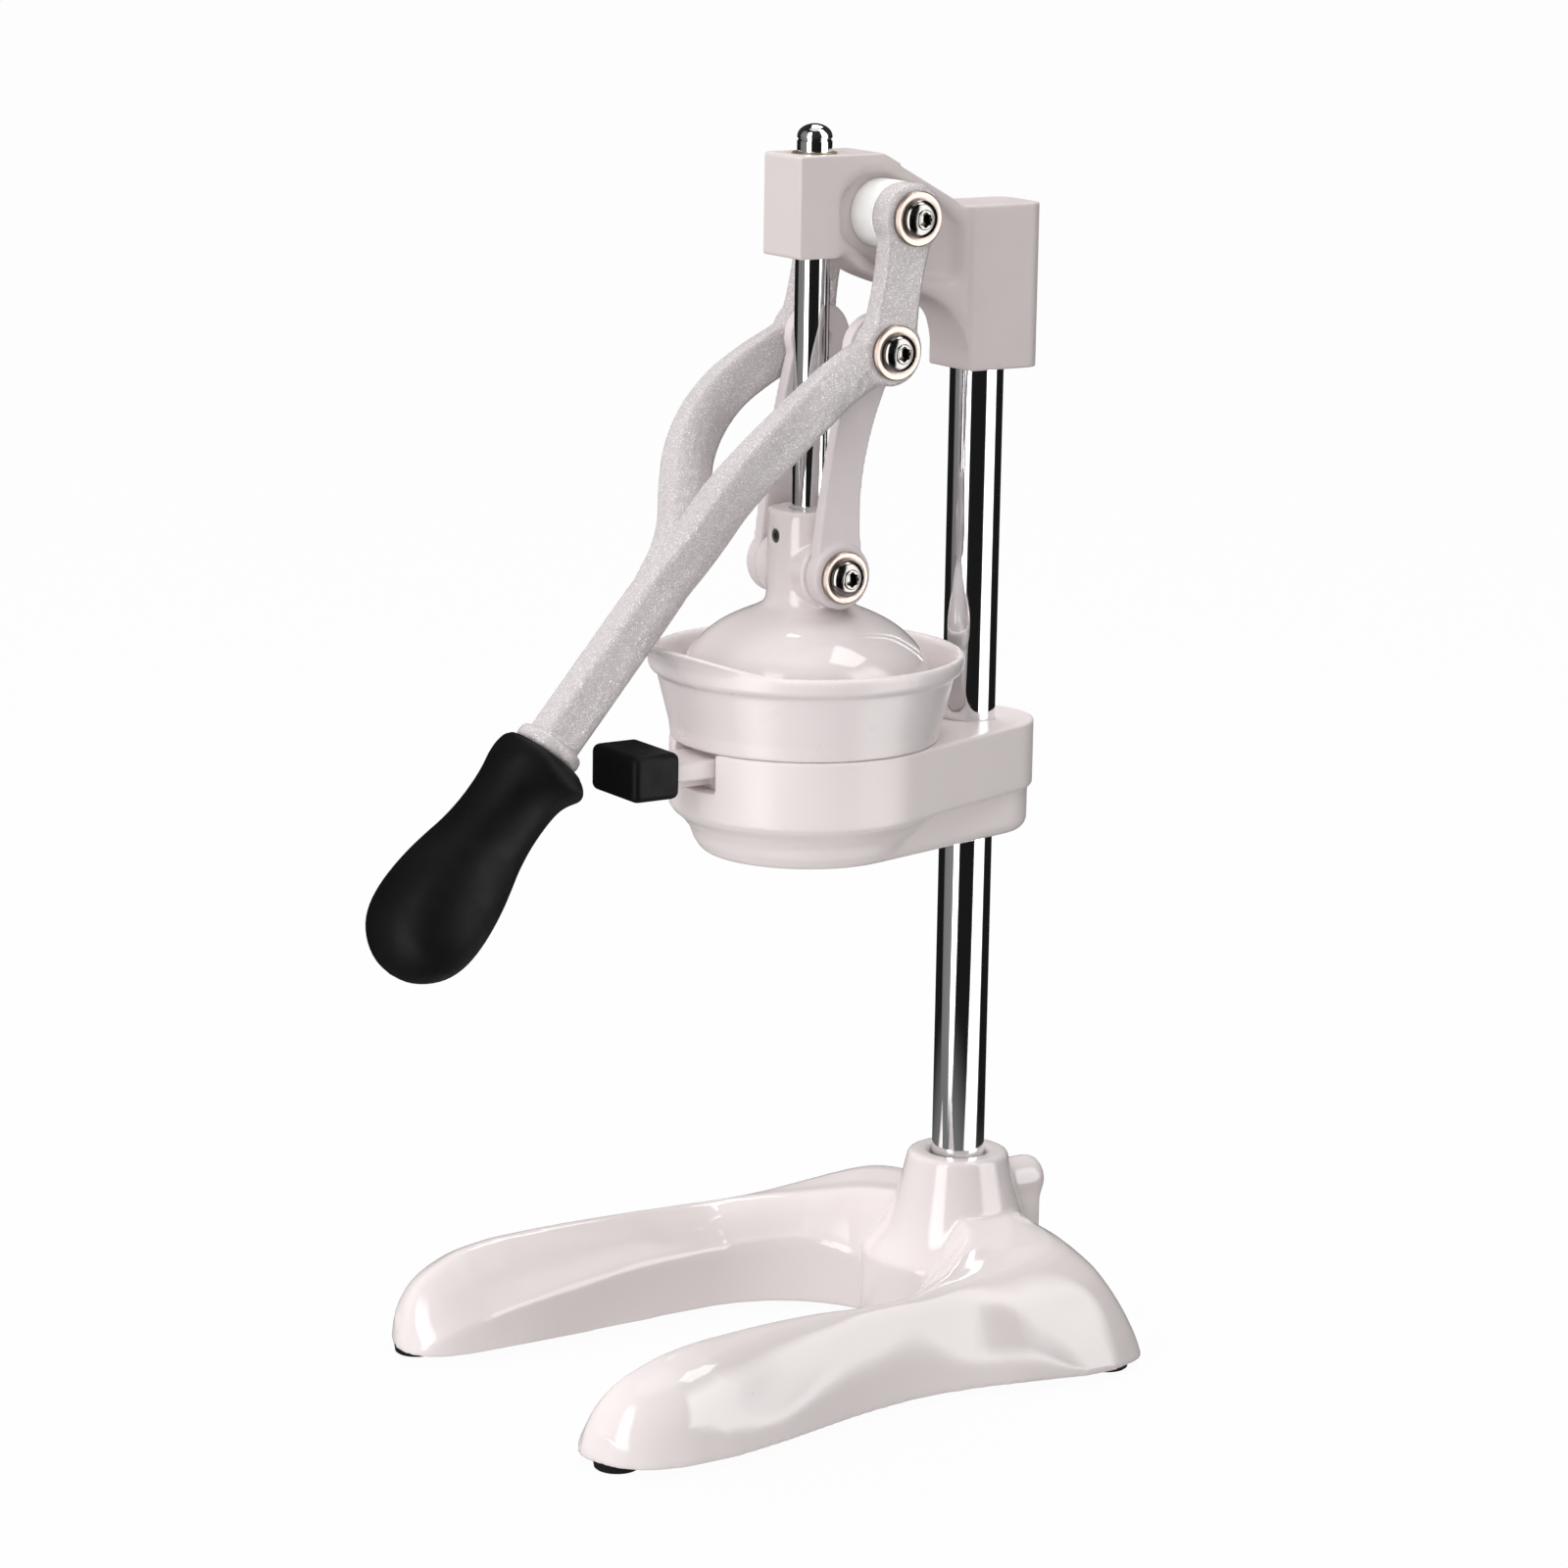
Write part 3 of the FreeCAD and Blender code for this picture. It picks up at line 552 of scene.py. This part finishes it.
BEND = [
    (8.0, 52.0, 27.0, 69.0, 40.3, 72.3, 38.6, 74.0, 33.5, 77.3),
    (24.0, 52.0, 28.5, 66.6, 42.0, 75.0, 40.5, 79.5, 33.0, 85.5),
    (36.0, 52.0, 29.5, 66.0, 43.3, 83.0, 42.4, 96.0, 29.5, 103.0),
    (43.5, 52.0, 30.0, 66.5, 44.4, 91.0, 44.0, 109.0, 26.0, 121.0),
    (50.0, 52.0, 29.3, 67.5, 45.4, 97.0, 46.0, 119.0, 28.0, 131.0),
    (55.0, 52.0, 28.3, 69.0, 46.2, 100.0, 46.8, 121.0, 30.5, 134.5),
    (62.0, 52.0, 26.8, 70.0, 47.0, 98.0, 47.4, 116.0, 31.0, 128.0),
    (75.0, 52.0, 23.0, 70.0, 48.0, 92.0, 48.0, 107.0, 33.0, 116.5),
    (90.0, 52.0, 19.5, 66.0, 46.0, 90.0, 49.0, 103.0, 34.0, 112.0),
]


# Places in a section's list of points.
CREASE = 3
SHOULDER = 8
LAST_FLANK = 12


def base_profile(inner, z_in, ridge, z_ridge, shoulder, z_shoulder, flank, z_flank, outer):
    """Points of one section, from the inner foot over the ridge to the outer foot."""
    low = BASE_Z
    mid = inner + 0.5 * (ridge - inner)
    z_mid = z_in + 0.5 * (z_ridge - z_in) + 0.07 * (ridge - inner)
    wall_top = max(low + 0.6, z_in - 1.4)
    return [
        (inner, low),
        (inner + 0.1, 0.5 * (low + z_in)),
        (inner + 0.4, wall_top),
        (inner + 1.7, z_in + 0.5),
        (mid, z_mid),
        (ridge - 2.4, z_ridge - 1.3),
        (ridge, z_ridge),
        (ridge + 0.3 * (shoulder - ridge) + 1.0, z_ridge + 0.22 * (z_shoulder - z_ridge)),
        (shoulder, z_shoulder),
        (flank - 0.35 * (flank - shoulder), z_flank + 0.5 * (z_shoulder - z_flank)),
        (flank, z_flank),
        (flank + 0.46 * (outer - flank), 0.66 * z_flank + 0.8),
        (flank + 0.80 * (outer - flank), 0.34 * z_flank + 1.4),
        (outer, low + 0.8),
        (outer - 0.3, low),
    ]


def base_rows():
    """All sections as (x, y, z) points, from one tip round to the other."""
    half = []
    for y, *sizes in LEG:
        half.append([(r, y, z) for r, z in base_profile(*sizes)])
    for angle, *sizes in BEND:
        c = math.cos(math.radians(angle))
        s = math.sin(math.radians(angle))
        half.append([(r * c, BEND_Y + r * s, z) for r, z in base_profile(*sizes)])
    mirrored = [[(-x, y, z) for x, y, z in row] for row in reversed(half[:-1])]
    return half + mirrored


def horseshoe():
    """Closed skin of the horseshoe, flat underneath."""
    rows = base_rows()
    lines = [flow([row[i] for row in rows], 5) for i in range(len(rows[0]))]
    rings = []
    for k in range(len(lines[0])):
        across = flow([line[k] for line in lines], 3)
        rings.append([(p.x, p.y, max(p.z, BASE_Z)) for p in across])
    bm = bmesh.new()
    skin(bm, rings)
    return link_mesh(bm, "horseshoe")


# The hollow underneath: how far it stays inside the feet of a section, and its roof under the
# crease, ridge, shoulder and flank. The tips stay solid.
FOOT_IN = 5.5
FOOT_OUT = 10.0
CREASE_ROOF = 7.0
RIDGE_ROOF = 6.0
SHOULDER_IN = 3.5
SHOULDER_ROOF = 7.5
FLANK_ROOF = 1.0
HOLLOW_LOW = -5
HOLLOW_SECTIONS = slice(4, -4)


def base_hollow():
    """Space under the casting: the horseshoe drawn in by the wall's thickness."""
    rings = []
    for row in base_rows()[HOLLOW_SECTIONS]:
        start = Vector(row[0])
        end = Vector(row[-1])
        across = (end - start).normalized()
        inner = start + across * FOOT_IN
        outer = end - across * FOOT_OUT
        ridge = max(row, key=lambda point: point[2])
        rings.append([
            (inner.x, inner.y, HOLLOW_LOW),
            (inner.x, inner.y, row[CREASE][2] - CREASE_ROOF),
            Vector((ridge[0], ridge[1], ridge[2] - RIDGE_ROOF)),
            Vector(row[SHOULDER]) - across * SHOULDER_IN - Vector((0, 0, SHOULDER_ROOF)),
            (outer.x, outer.y, row[LAST_FLANK][2] - FLANK_ROOF),
            (outer.x, outer.y, HOLLOW_LOW),
        ])
    bm = bmesh.new()
    skin(bm, rings)
    return link_mesh(bm, "base_hollow")


FEET = [(73.0, -196.5), (-73.0, -196.5), (73.5, 18.5), (-73.5, 18.5)]
LUG_Z = 53.0              # axis of the clamp screw's lug, behind the boss


def make_boss():
    """Tapered boss that holds the column."""
    taper = [(36, 30), (30.0, 36.5), (26.4, 43), (23.9, 50), (21.6, 58), (19.4, 67.2)]
    flank = [(p.x, p.y) for p in flow([(r, z, 0) for r, z in taper], 3)]
    foot = [(10.9, BASE_Z), (36, BASE_Z)]
    top = [(18.9, 68.6), (17.8, 69.0), (11.6, 69.0), (10.9, 68.3)]
    return turned_piece("boss", foot + flank + top, at(0, 0, 0), UP, FRONT)


def make_lug():
    """Round lug for the clamp screw, with the web that carries it."""
    lug = [(0, 12), (8.6, 12), (8.6, 32.5), (8.0, 35.4), (6.0, 37.2), (3.2, 37.8), (3.2, 36), (0, 36)]
    bm = bmesh.new()
    rings = []
    for y, top in ((14, LUG_Z), (34.5, LUG_Z - 3.5)):
        rings.append([(-8.2, y, 24), (8.2, y, 24), (8.2, y, top), (-8.2, y, top)])
    skin(bm, rings)
    round_lug = turned_piece("lug", lug, at(0, 0, LUG_Z), (0, 1, 0), UP, 48)
    return [round_lug, link_mesh(bm, "lug_web")]


def make_base():
    """Horseshoe casting: hollow underneath, with the boss, lug and the feet's pads."""
    well = turned_piece("well", [(0, -5), (24, -5), (24, 80), (0, 80)], at(0, 0, 0), UP, FRONT)
    tool = cast_skin(joined([well, base_hollow()], "hollow_raw"), "hollow_tool", 1.5, 0)
    parts = [carve(horseshoe(), tool), make_boss()] + make_lug()
    pad = [(2.4, BASE_Z), (8.6, BASE_Z), (8.6, 14), (2.4, 14)]
    for x, y in FEET:
        parts.append(turned_piece("pad", pad, at(x, y, 0), UP, FRONT, 32))
    stand_in(cast_skin(joined(parts, "base_raw"), "base_shell", 1.1, 6), "base_casting")


def make_feet():
    """Rubber feet with a recess round the screw."""
    bm = bmesh.new()
    profile = [(2.0, 0.6), (3.9, 0.6), (3.9, 0.0), (7.6, 0.0), (8.2, 0.5), (8.6, 3.1), (2.0, 3.1)]
    for x, y in FEET:
        turned(bm, profile, at(x, y, 0), UP, FRONT, 48)
    stand_in(link_mesh(bm, "feet"), "base_feet", 40)


# ---- column and rod ------------------------------------------------------------------
def make_bars():
    """Column with chamfered ends, and the rod with the domed end above its groove."""
    low, top = COLUMN_ENDS
    edge = 0.8
    column = [(0, low), (COLUMN_R - edge, low), (COLUMN_R, low + edge), (COLUMN_R, top - edge),
              (COLUMN_R - edge, top), (0, top)]
    piece = turned_piece("column_bar", column, at(0, 0, 0), UP, RIGHT, 128)
    stand_in(piece, "column", 30)
    low, top = ROD_ENDS
    rod = [(0, low), (ROD_R, low), (ROD_R, 457.3), (6.0, 457.5), (6.0, 458.2), (ROD_R, 458.5)]
    for i in range(10):
        a = i * math.pi / 20
        rod.append((ROD_R * math.cos(a), 458.9 + 4.6 * math.sin(a)))
    rod.append((0, top))
    stand_in(turned_piece("rod_bar", rod, at(0, PRESS_Y, 0), UP, RIGHT, 96), "press_rod", 35)


# ---- bowl ----------------------------------------------------------------------------
def lip_share(angle):
    """How much of the pour lip stands at an angle from the front, 0 to 1."""
    off = abs(math.atan2(math.sin(angle), math.cos(angle)))
    return 1.0 - smoothstep(math.degrees(off), 8.0, 52.0)


# Points of the rim as (r, z): where it is plain, and at the middle of the pour lip.
RIM = [
    ((58.4, 268.6), (58.4, 268.3)),
    ((58.3, 269.9), (59.0, 270.2)),
    ((57.7, 270.7), (61.0, 273.4)),
    ((56.9, 270.9), (63.6, 276.2)),
    ((56.2, 270.9), (63.9, 277.2)),
    ((55.2, 270.6), (62.4, 277.3)),
    ((54.5, 269.8), (59.8, 274.6)),
    ((54.0, 268.8), (56.3, 270.6)),
]


def bowl_profile():
    """Section of the bowl: up its outside, over the rim, down inside to the outlet."""
    outside = [
        (11.0, 200.5), (11.0, 212.0), (12.6, 213.7), (40.0, 216.6), (42.4, 217.6), (43.0, 219.6),
        (43.0, 238.85), (49.0, 238.85), (49.6, 239.4), (50.3, 244.6), (55.0, 262.9), (55.6, 263.6),
        (57.1, 264.3), (58.0, 265.8),
    ]
    inside = [
        (53.2, 265.5), (47.6, 244.0), (43.4, 238.6), (40.0, 236.0), (40.0, 228.0), (37.0, 228.0),
        (37.0, 220.6), (8.0, 217.0), (8.0, 200.5),
    ]
    return outside + [plain for plain, lip in RIM] + inside


def lip_shape(r, s, angle):
    """Draws the rim out into the pour lip."""
    share = lip_share(angle)
    for plain, lip in RIM:
        if (r, s) == plain:
            return r + (lip[0] - r) * share, s + (lip[1] - s) * share
    return r, s


TAB_ROOT = -41.5          # the tab and its rib start inside the bowl's wall
TAB = (11.5, 229.5, 236.5, -78.5)       # half width, low, high, and how far it reaches
TAB_RIB = (3.5, 225.5, 230.5, -62.0)


def make_bowl():
    """Bowl with its pour lip and the front tab that carries the cap."""
    place = at(0, PRESS_Y, 0)
    bowl = turned_piece("bowl_turned", bowl_profile(), place, UP, FRONT, 160, lip_shape)
    bm = bmesh.new()
    for x, low, high, reach in (TAB, TAB_RIB):
        ring = [(-x, low), (x, low), (x, high), (-x, high)]
        skin(bm, [[(px, PRESS_Y + y, pz) for px, pz in ring] for y in (reach, TAB_ROOT)])
    raw = joined([bowl, link_mesh(bm, "tab")], "bowl_raw")
    stand_in(cast_skin(raw, "bowl_shell", 0.65, 3), "juice_bowl")


# ---- handle --------------------------------------------------------------------------
def bar_point(s):
    """Point of the bar's middle line, s millimetres past the collar towards the grip's end."""
    return Vector((0, COLLAR[0] - s * math.sin(BAR_TILT), COLLAR[1] - s * math.cos(BAR_TILT)))


def bar_axis():
    """Direction of the bar, towards the grip's end."""
    return (bar_point(1) - bar_point(0)).normalized()


def forged_section(centre, side, up, half_a, half_b):
    """Drafted section of a forged bar: widest at its parting line, flat above and below."""
    ring = [(1.0, 0.0), (0.93, 0.42), (0.80, 0.80), (0.60, 0.98),
            (0.0, 1.0), (-0.60, 0.98), (-0.80, 0.80), (-0.93, 0.42)]
    ring += [(-a, -b) for a, b in ring]
    return [centre + side * (a * half_a) + up * (b * half_b) for a, b in ring]


# Middle line of the right arm from its link pivot to the bar: x, y, z and its half sizes.
ARM_PATH = [
    (26.9, -58.8, 383.6, 4.9, 9.6),
    (26.9, -68.5, 379.2, 5.0, 9.0),
    (27.9, -80.0, 373.2, 5.7, 8.8),
    (28.8, -92.0, 365.0, 6.3, 8.8),
    (26.8, -103.0, 354.8, 6.7, 9.0),
    (21.4, -112.2, 343.4, 7.0, 9.1),
    (14.0, -118.4, 332.0, 7.4, 9.1),
    (7.4, -123.0, 320.5, 7.6, 9.0),
    (3.2, -129.2, 309.6, 7.3, 8.8),
    (0.9, -137.4, 299.2, 7.2, 8.5),
]


def arm_frames(sign):
    """Places, directions and half sizes of the sections along one arm."""
    path = [Vector((sign * x, y, z)) for x, y, z, a, b in ARM_PATH]
    sizes = [Vector((a, b, 0)) for x, y, z, a, b in ARM_PATH]
    smooth = flow(path, 5)
    widths = flow(sizes, 5)
    frames = []
    for i, centre in enumerate(smooth):
        ahead = smooth[min(i + 1, len(smooth) - 1)]
        behind = smooth[max(i - 1, 0)]
        tangent = (ahead - behind).normalized()
        up = tangent.cross(Vector((1, 0, 0))).normalized()
        side = up.cross(tangent).normalized()
        frames.append((centre, side, up, widths[i].x, widths[i].y))
    return frames


# Section of the crank plate: x, and share of its half width.
PLATE = [(23.0, 1.0), (30.2, 1.0), (31.2, 0.86), (31.2, -0.86),
         (30.2, -1.0), (23.0, -1.0), (22.4, -0.86), (22.4, 0.86)]
PLATE_SECTIONS = 9


def crank_plate(bm, sign):
    """Waisted plate between the head pivot and the link pivot."""
    top = Vector((0, *PIVOT_HEAD))
    low = Vector((0, *PIVOT_FORK))
    along = low - top
    across = Vector((0, along.z, -along.y)).normalized()
    rings = []
    for i in range(PLATE_SECTIONS):
        t = i / (PLATE_SECTIONS - 1)
        half = 8.6 + 2.4 * (2 * t - 1) ** 2
        mid = top + along * t
        ring = []
        for x, share in PLATE:
            p = mid + across * (half * share)
            ring.append((sign * x, p.y, p.z))
        rings.append(ring)
    skin(bm, rings)


def eye(bm, sign, pivot, bore):
    """Round boss of a pivot, with its edges broken."""
    profile = [(bore, ARM_IN), (BOSS_R - 0.8, ARM_IN), (BOSS_R, ARM_IN + 0.8), (BOSS_R, ARM_OUT - 1.2),
               (BOSS_R - 1.2, ARM_OUT), (bore, ARM_OUT)]
    turned(bm, profile, at(0, *pivot), (sign, 0, 0), UP, 72)


# Bar from the fork to the collar: millimetres past the collar, and half sizes.
BAR = [(-90, 5.0, 6.0), (-82, 7.2, 8.0), (-72, 8.2, 8.7), (-60, 8.5, 8.8), (-30, 8.5, 8.8), (0, 8.5, 8.8)]
COLLAR_RING = [(0, -3.0), (11.4, -3.0), (12.5, -1.9), (12.7, 0.0), (12.5, 1.9), (11.4, 2.9), (0, 2.9)]
TANG = [(0, 0), (6.0, 0), (6.0, 70), (0, 70)]
BORE_ENDS = (10, 45)
BORE_SLACK = -0.04        # the head pivot's bore is cut slightly under its eye's


def bores():
    """Cutter for the four bores, after the remesh has closed them over."""
    bm = bmesh.new()
    low, high = BORE_ENDS
    for sign in (1, -1):
        for r, pivot in ((HEAD_BORE + BORE_SLACK, PIVOT_HEAD), (FORK_BORE, PIVOT_FORK)):
            bore = [(0, low), (r, low), (r, high), (0, high)]
            turned(bm, bore, at(0, *pivot), (sign, 0, 0), UP, 48)
    return link_mesh(bm, "bores")


def make_fork():
    """Fork casting: two arms, two crank plates with their eyes, bar, collar and tang."""
    bm = bmesh.new()
    for sign in (1, -1):
        skin(bm, [forged_section(*place) for place in arm_frames(sign)])
        crank_plate(bm, sign)
        eye(bm, sign, PIVOT_HEAD, HEAD_BORE)
        eye(bm, sign, PIVOT_FORK, FORK_BORE)
    side = Vector(RIGHT)
    axis = bar_axis()
    up = axis.cross(side).normalized()
    skin(bm, [forged_section(bar_point(s), side, up, a, b) for s, a, b in BAR])
    collar = at(*bar_point(0))
    turned(bm, COLLAR_RING, collar, axis, side, 64)
    turned(bm, TANG, collar, axis, side, 32)
    fork = cast_skin(link_mesh(bm, "fork_raw"), "fork", 0.65, 4)
    stand_in(carve(fork, bores()), "fork_handle")


# Grip: radius, and millimetres past the collar.
GRIP = [
    (0.0, 3.0), (13.6, 3.0), (15.4, 3.5), (17.0, 4.9), (18.0, 7.0), (18.1, 9.4), (17.2, 12.6),
    (16.0, 17.5), (15.4, 24.0), (15.5, 33.0), (16.6, 42.0), (18.4, 50.0), (20.0, 58.0), (21.05, 67.0),
    (21.2, 75.0), (20.2, 82.3), (17.5, 88.7), (12.7, 94.0), (6.8, 97.4), (0.0, 98.7),
]


def grip_shape(r, s, angle):
    """The collar end flares more on the under side than on the upper side."""
    flare = math.exp(-((s - 7.5) / 5.0) ** 2)
    return r * (1.0 + flare * (0.012 - 0.115 * math.cos(angle))), s


def make_grip():
    """Moulded grip over the tang."""
    rounded = [(max(p.x, 0.0), p.y) for p in flow([(r, s, 0) for r, s in GRIP], 3)]
    upper = Vector((0, -math.cos(BAR_TILT), math.sin(BAR_TILT)))
    ob = turned_piece("grip", rounded, at(*bar_point(0)), bar_axis(), upper, 96, grip_shape)
    stand_in(ob, "handle_grip")


# ---- pivots --------------------------------------------------------------------------
# Domed screw head, as (r, height): its shank, the dome, and the walls and floor of its socket.
SHANK = [(0.0, -9.0), (3.1, -9.0), (3.1, 0.0)]
DOME = [(7.0, 0.0), (7.05, 0.7), (6.75, 1.6), (6.0, 2.55), (4.95, 3.2), (4.0, 3.45), (3.7, 3.5),
        (3.55, 3.85), (3.3, 4.05), (2.9, 4.1)]
SOCKET = [(2.65, 3.9), (2.5, 3.4), (2.5, 1.3)]
SCREW = SHANK + DOME + SOCKET + [(0.0, 1.3)]
HEAD_SEAT = 2.15          # the screw heads' seats above the washers' own seats


def hex_shape(r, s, angle):
    """Turns the socket's round points into a hexagon."""
    if (r, s) not in SOCKET:
        return r, s
    sector = math.radians(60)
    return r * 0.9 / math.cos((angle % sector) - sector / 2), s


def make_pivot(name, pivot, face, washer_r):
    """Domed socket screws and warm washers on both ends of a pivot; face is the washers' seat."""
    screws = bmesh.new()
    washers = bmesh.new()
    ring = [(3.4, 0.0), (washer_r - 0.3, 0.0), (washer_r, 0.5), (washer_r, 1.7),
            (washer_r - 0.5, 2.25), (washer_r - 1.3, 2.4), (7.7, 2.3), (7.2, 2.05), (3.4, 2.05)]
    for sign in (1, -1):
        outwards = (sign, 0, 0)
        seat = at(sign * (face + HEAD_SEAT), *pivot)
        turned(screws, SCREW, seat, outwards, UP, 96, hex_shape)
        turned(washers, ring, at(sign * face, *pivot), outwards, UP, 96)
    stand_in(link_mesh(screws, name + "_screws"), name + "_screws", 50)
    stand_in(link_mesh(washers, name + "_washers"), name + "_washers", 35)


def make_pivots():
    """The three pivots: where each is, its washers' seat and their radius."""
    make_pivot("head_pivot", PIVOT_HEAD, ARM_OUT + 0.3, 10.0)
    make_pivot("link_pivot", PIVOT_FORK, ARM_OUT + 0.1, 10.0)
    make_pivot("press_pivot", PIVOT_PRESS, 23.5, 9.6)


def make_bushes():
    """White spacer bushes between the head and the fork."""
    bm = bmesh.new()
    profile = [(6.1, 8.1), (12.0, 8.1), (12.5, 8.6), (12.5, 21.2), (12.1, 21.7), (6.1, 21.7)]
    for sign in (1, -1):
        turned(bm, profile, at(0, *PIVOT_HEAD), (sign, 0, 0), UP, 96)
    stand_in(link_mesh(bm, "bushes"), "pivot_spacer_bushes", 40)


# ---- head ----------------------------------------------------------------------------
SCOOP_X = (6.5, 12.9)
SCOOP_TOP = 449


def web_zone(x, y, z):
    """Where the head's sides melt into a shallow scoop beside the web."""
    near, far = SCOOP_X
    if abs(x) > far or abs(x) < near or z > SCOOP_TOP:
        return 0.0
    front = smoothstep(y, -71.5, -67.0)
    back = 1.0 - smoothstep(y, -17.5, -13.5)
    return front * back


# ---- stage ---------------------------------------------------------------------------
# Bright and dark strips round the object, seen only in reflections: degrees right of the
# viewing direction, and level.
STRIPS = [
    (-180, 0.002), (-108, 0.002), (-101, 0.036), (-52, 0.044), (-45, 1.0), (-28, 1.0),
    (-21, 0.002), (45, 0.002), (54, 0.85), (84, 0.85), (96, 0.002), (180, 0.002),
]
STRIP_LEVEL = 6.0


def strips(g, vector):
    """Level of the studio's strips in the direction of a vector."""
    turned_vector = g.mapped(vector, turn=math.pi / 2 - VIEW_AZIMUTH)
    wheel = g.nodes.new("ShaderNodeTexGradient")
    wheel.gradient_type = "RADIAL"
    g.link(turned_vector, wheel.inputs["Vector"])
    ramp = g.nodes.new("ShaderNodeValToRGB")
    stops = ramp.color_ramp.elements
    while len(stops) > 1:
        stops.remove(stops[-1])
    for i, (angle, level) in enumerate(STRIPS):
        place = 0.5 + angle / 360
        stop = stops[0] if i == 0 else stops.new(place)
        stop.position = place
        stop.color = (level, level, level, 1)
    g.link(wheel.outputs["Fac"], ramp.inputs["Fac"])
    return g.math("MULTIPLY", ramp.outputs["Color"], STRIP_LEVEL)


def softbox(name, size, place, aim, power):
    """Square light, aimed at a point; metres and watts."""
    light = bpy.data.lights.new(name, "AREA")
    light.size = size
    light.energy = power
    ob = bpy.data.objects.new(name, light)
    ob.location = place
    ob.rotation_euler = (Vector(aim) - Vector(place)).to_track_quat("-Z", "Y").to_euler()
    bpy.context.scene.collection.objects.link(ob)


def emission(g, level):
    """White emission at a level."""
    n = g.nodes.new("ShaderNodeEmission")
    g.link(level, n.inputs["Strength"])
    return n.outputs[0]


def mixed(g, fac, a, b):
    """Mix of two shaders."""
    n = g.nodes.new("ShaderNodeMixShader")
    g.link(fac, n.inputs[0])
    g.link(a, n.inputs[1])
    g.link(b, n.inputs[2])
    return n.outputs[0]


# Soft light from the front: cosines to its middle direction, from and to, and its levels there.
LIGHT_FROM = Vector((-0.132, -0.930, 0.25)).normalized()
SOFT_LIGHT = (-0.60, 1.0, 0.0, 1.93)
# What the floor throws back: metres towards the light, from and to, and its levels there.
BOUNCE = (-0.35, 0.45, 0.62, 1.16)
FLOOR_SIZE = 60.0
FLOOR_DROP = 0.0002       # the floor lies this far under the feet
FLOOR_GLOW = 0.96         # share of plain white in what the camera sees of the floor
FLOOR_NEAR = 0.20         # level of the floor close to the object in reflections


def make_floor():
    """Pale seamless floor.

    Reflections show the studio's strips in it, except close to the object, and what it throws
    back on the object is brighter towards the light."""
    bpy.ops.mesh.primitive_plane_add(size=FLOOR_SIZE, location=(0, 0, -FLOOR_DROP))
    floor = bpy.context.object
    floor.name = "floor"
    g = Graph.material("floor")
    g.put(Base_Color=(0.64, 0.64, 0.64, 1), Roughness=0.9, Specular_IOR_Level=0.1)
    path = g.nodes.new("ShaderNodeLightPath").outputs
    away = g.span(g.vector("LENGTH", g.coords), 0.16, 0.42, 0.0, 1.0, True)
    white = g.nodes.new("ShaderNodeEmission").outputs[0]
    glow = g.math("MULTIPLY", path["Is Camera Ray"], FLOOR_GLOW)
    seen = mixed(g, glow, g.shader.outputs[0], white)
    far = g.math("MULTIPLY", strips(g, g.coords), away)
    near = g.span(away, 0.0, 1.0, FLOOR_NEAR, 0.0)
    out = mixed(g, path["Is Glossy Ray"], seen, emission(g, g.math("ADD", far, near)))
    lit = g.span(g.vector("DOT_PRODUCT", g.coords, LIGHT_FROM), *BOUNCE, True)
    out = mixed(g, path["Is Diffuse Ray"], out, emission(g, lit))
    g.link(out, g.nodes["Material Output"].inputs["Surface"])
    floor.data.materials.append(g.mat)


def make_world():
    """White behind the object, soft light from the front left, strips in reflections."""
    world = bpy.data.worlds.new("studio")
    bpy.context.scene.world = world
    world.use_nodes = True
    g = Graph(world.node_tree)
    direction = g.nodes.new("ShaderNodeTexCoord").outputs["Generated"]
    path = g.nodes.new("ShaderNodeLightPath").outputs
    soft = g.span(g.vector("DOT_PRODUCT", direction, LIGHT_FROM), *SOFT_LIGHT)
    height = g.split(direction)["Z"]
    round_it = g.math("MULTIPLY", strips(g, direction), g.span(height, 0.62, 0.85, 1.0, 0.0, True))
    overhead = g.span(height, 0.90, 0.98, 0.02, 1.0, True)
    level = g.math("ADD", round_it, overhead)
    back = g.nodes["Background"]
    glossy = g.blend(path["Is Glossy Ray"], soft, level)
    g.link(g.blend(path["Is Camera Ray"], glossy, (1.0, 1.0, 1.0)), back.inputs["Color"])


def make_stage():
    """Camera, floor, world and the two softboxes behind the object."""
    make_camera()
    make_floor()
    make_world()
    softbox("softbox_rear", 0.5, (-0.42, 0.42, 1.35), (0, 0, 0.1), 4.6)
    softbox("softbox_above", 0.50, (0.40, 0.52, 1.60), (0, 0, 0.25), 4.4)
    bpy.context.scene.view_settings.view_transform = "Standard"


# CAD shapes that only get softer edges: node, piece, voxel in mm, passes, and the head's scoop.
CASTINGS = [
    ("holder_bracket", "holder", 0.8, 5),
    ("head_bracket", "head", 0.65, 3, web_zone, 140),
    ("press_cup", "cup", 0.7, 4),
    ("link_left", "strap_left", 0.6, 4),
    ("link_right", "strap_right", 0.6, 4),
    ("bowl_tab_cap", "tab_cap", 0.5, 4),
    ("reamer_cone", "cone", 0.5, 3),
]

dress_nodes()
make_base()
make_feet()
make_bars()
make_bowl()
make_fork()
make_grip()
make_pivots()
make_bushes()
for casting in CASTINGS:
    softened(*casting)
make_stage()
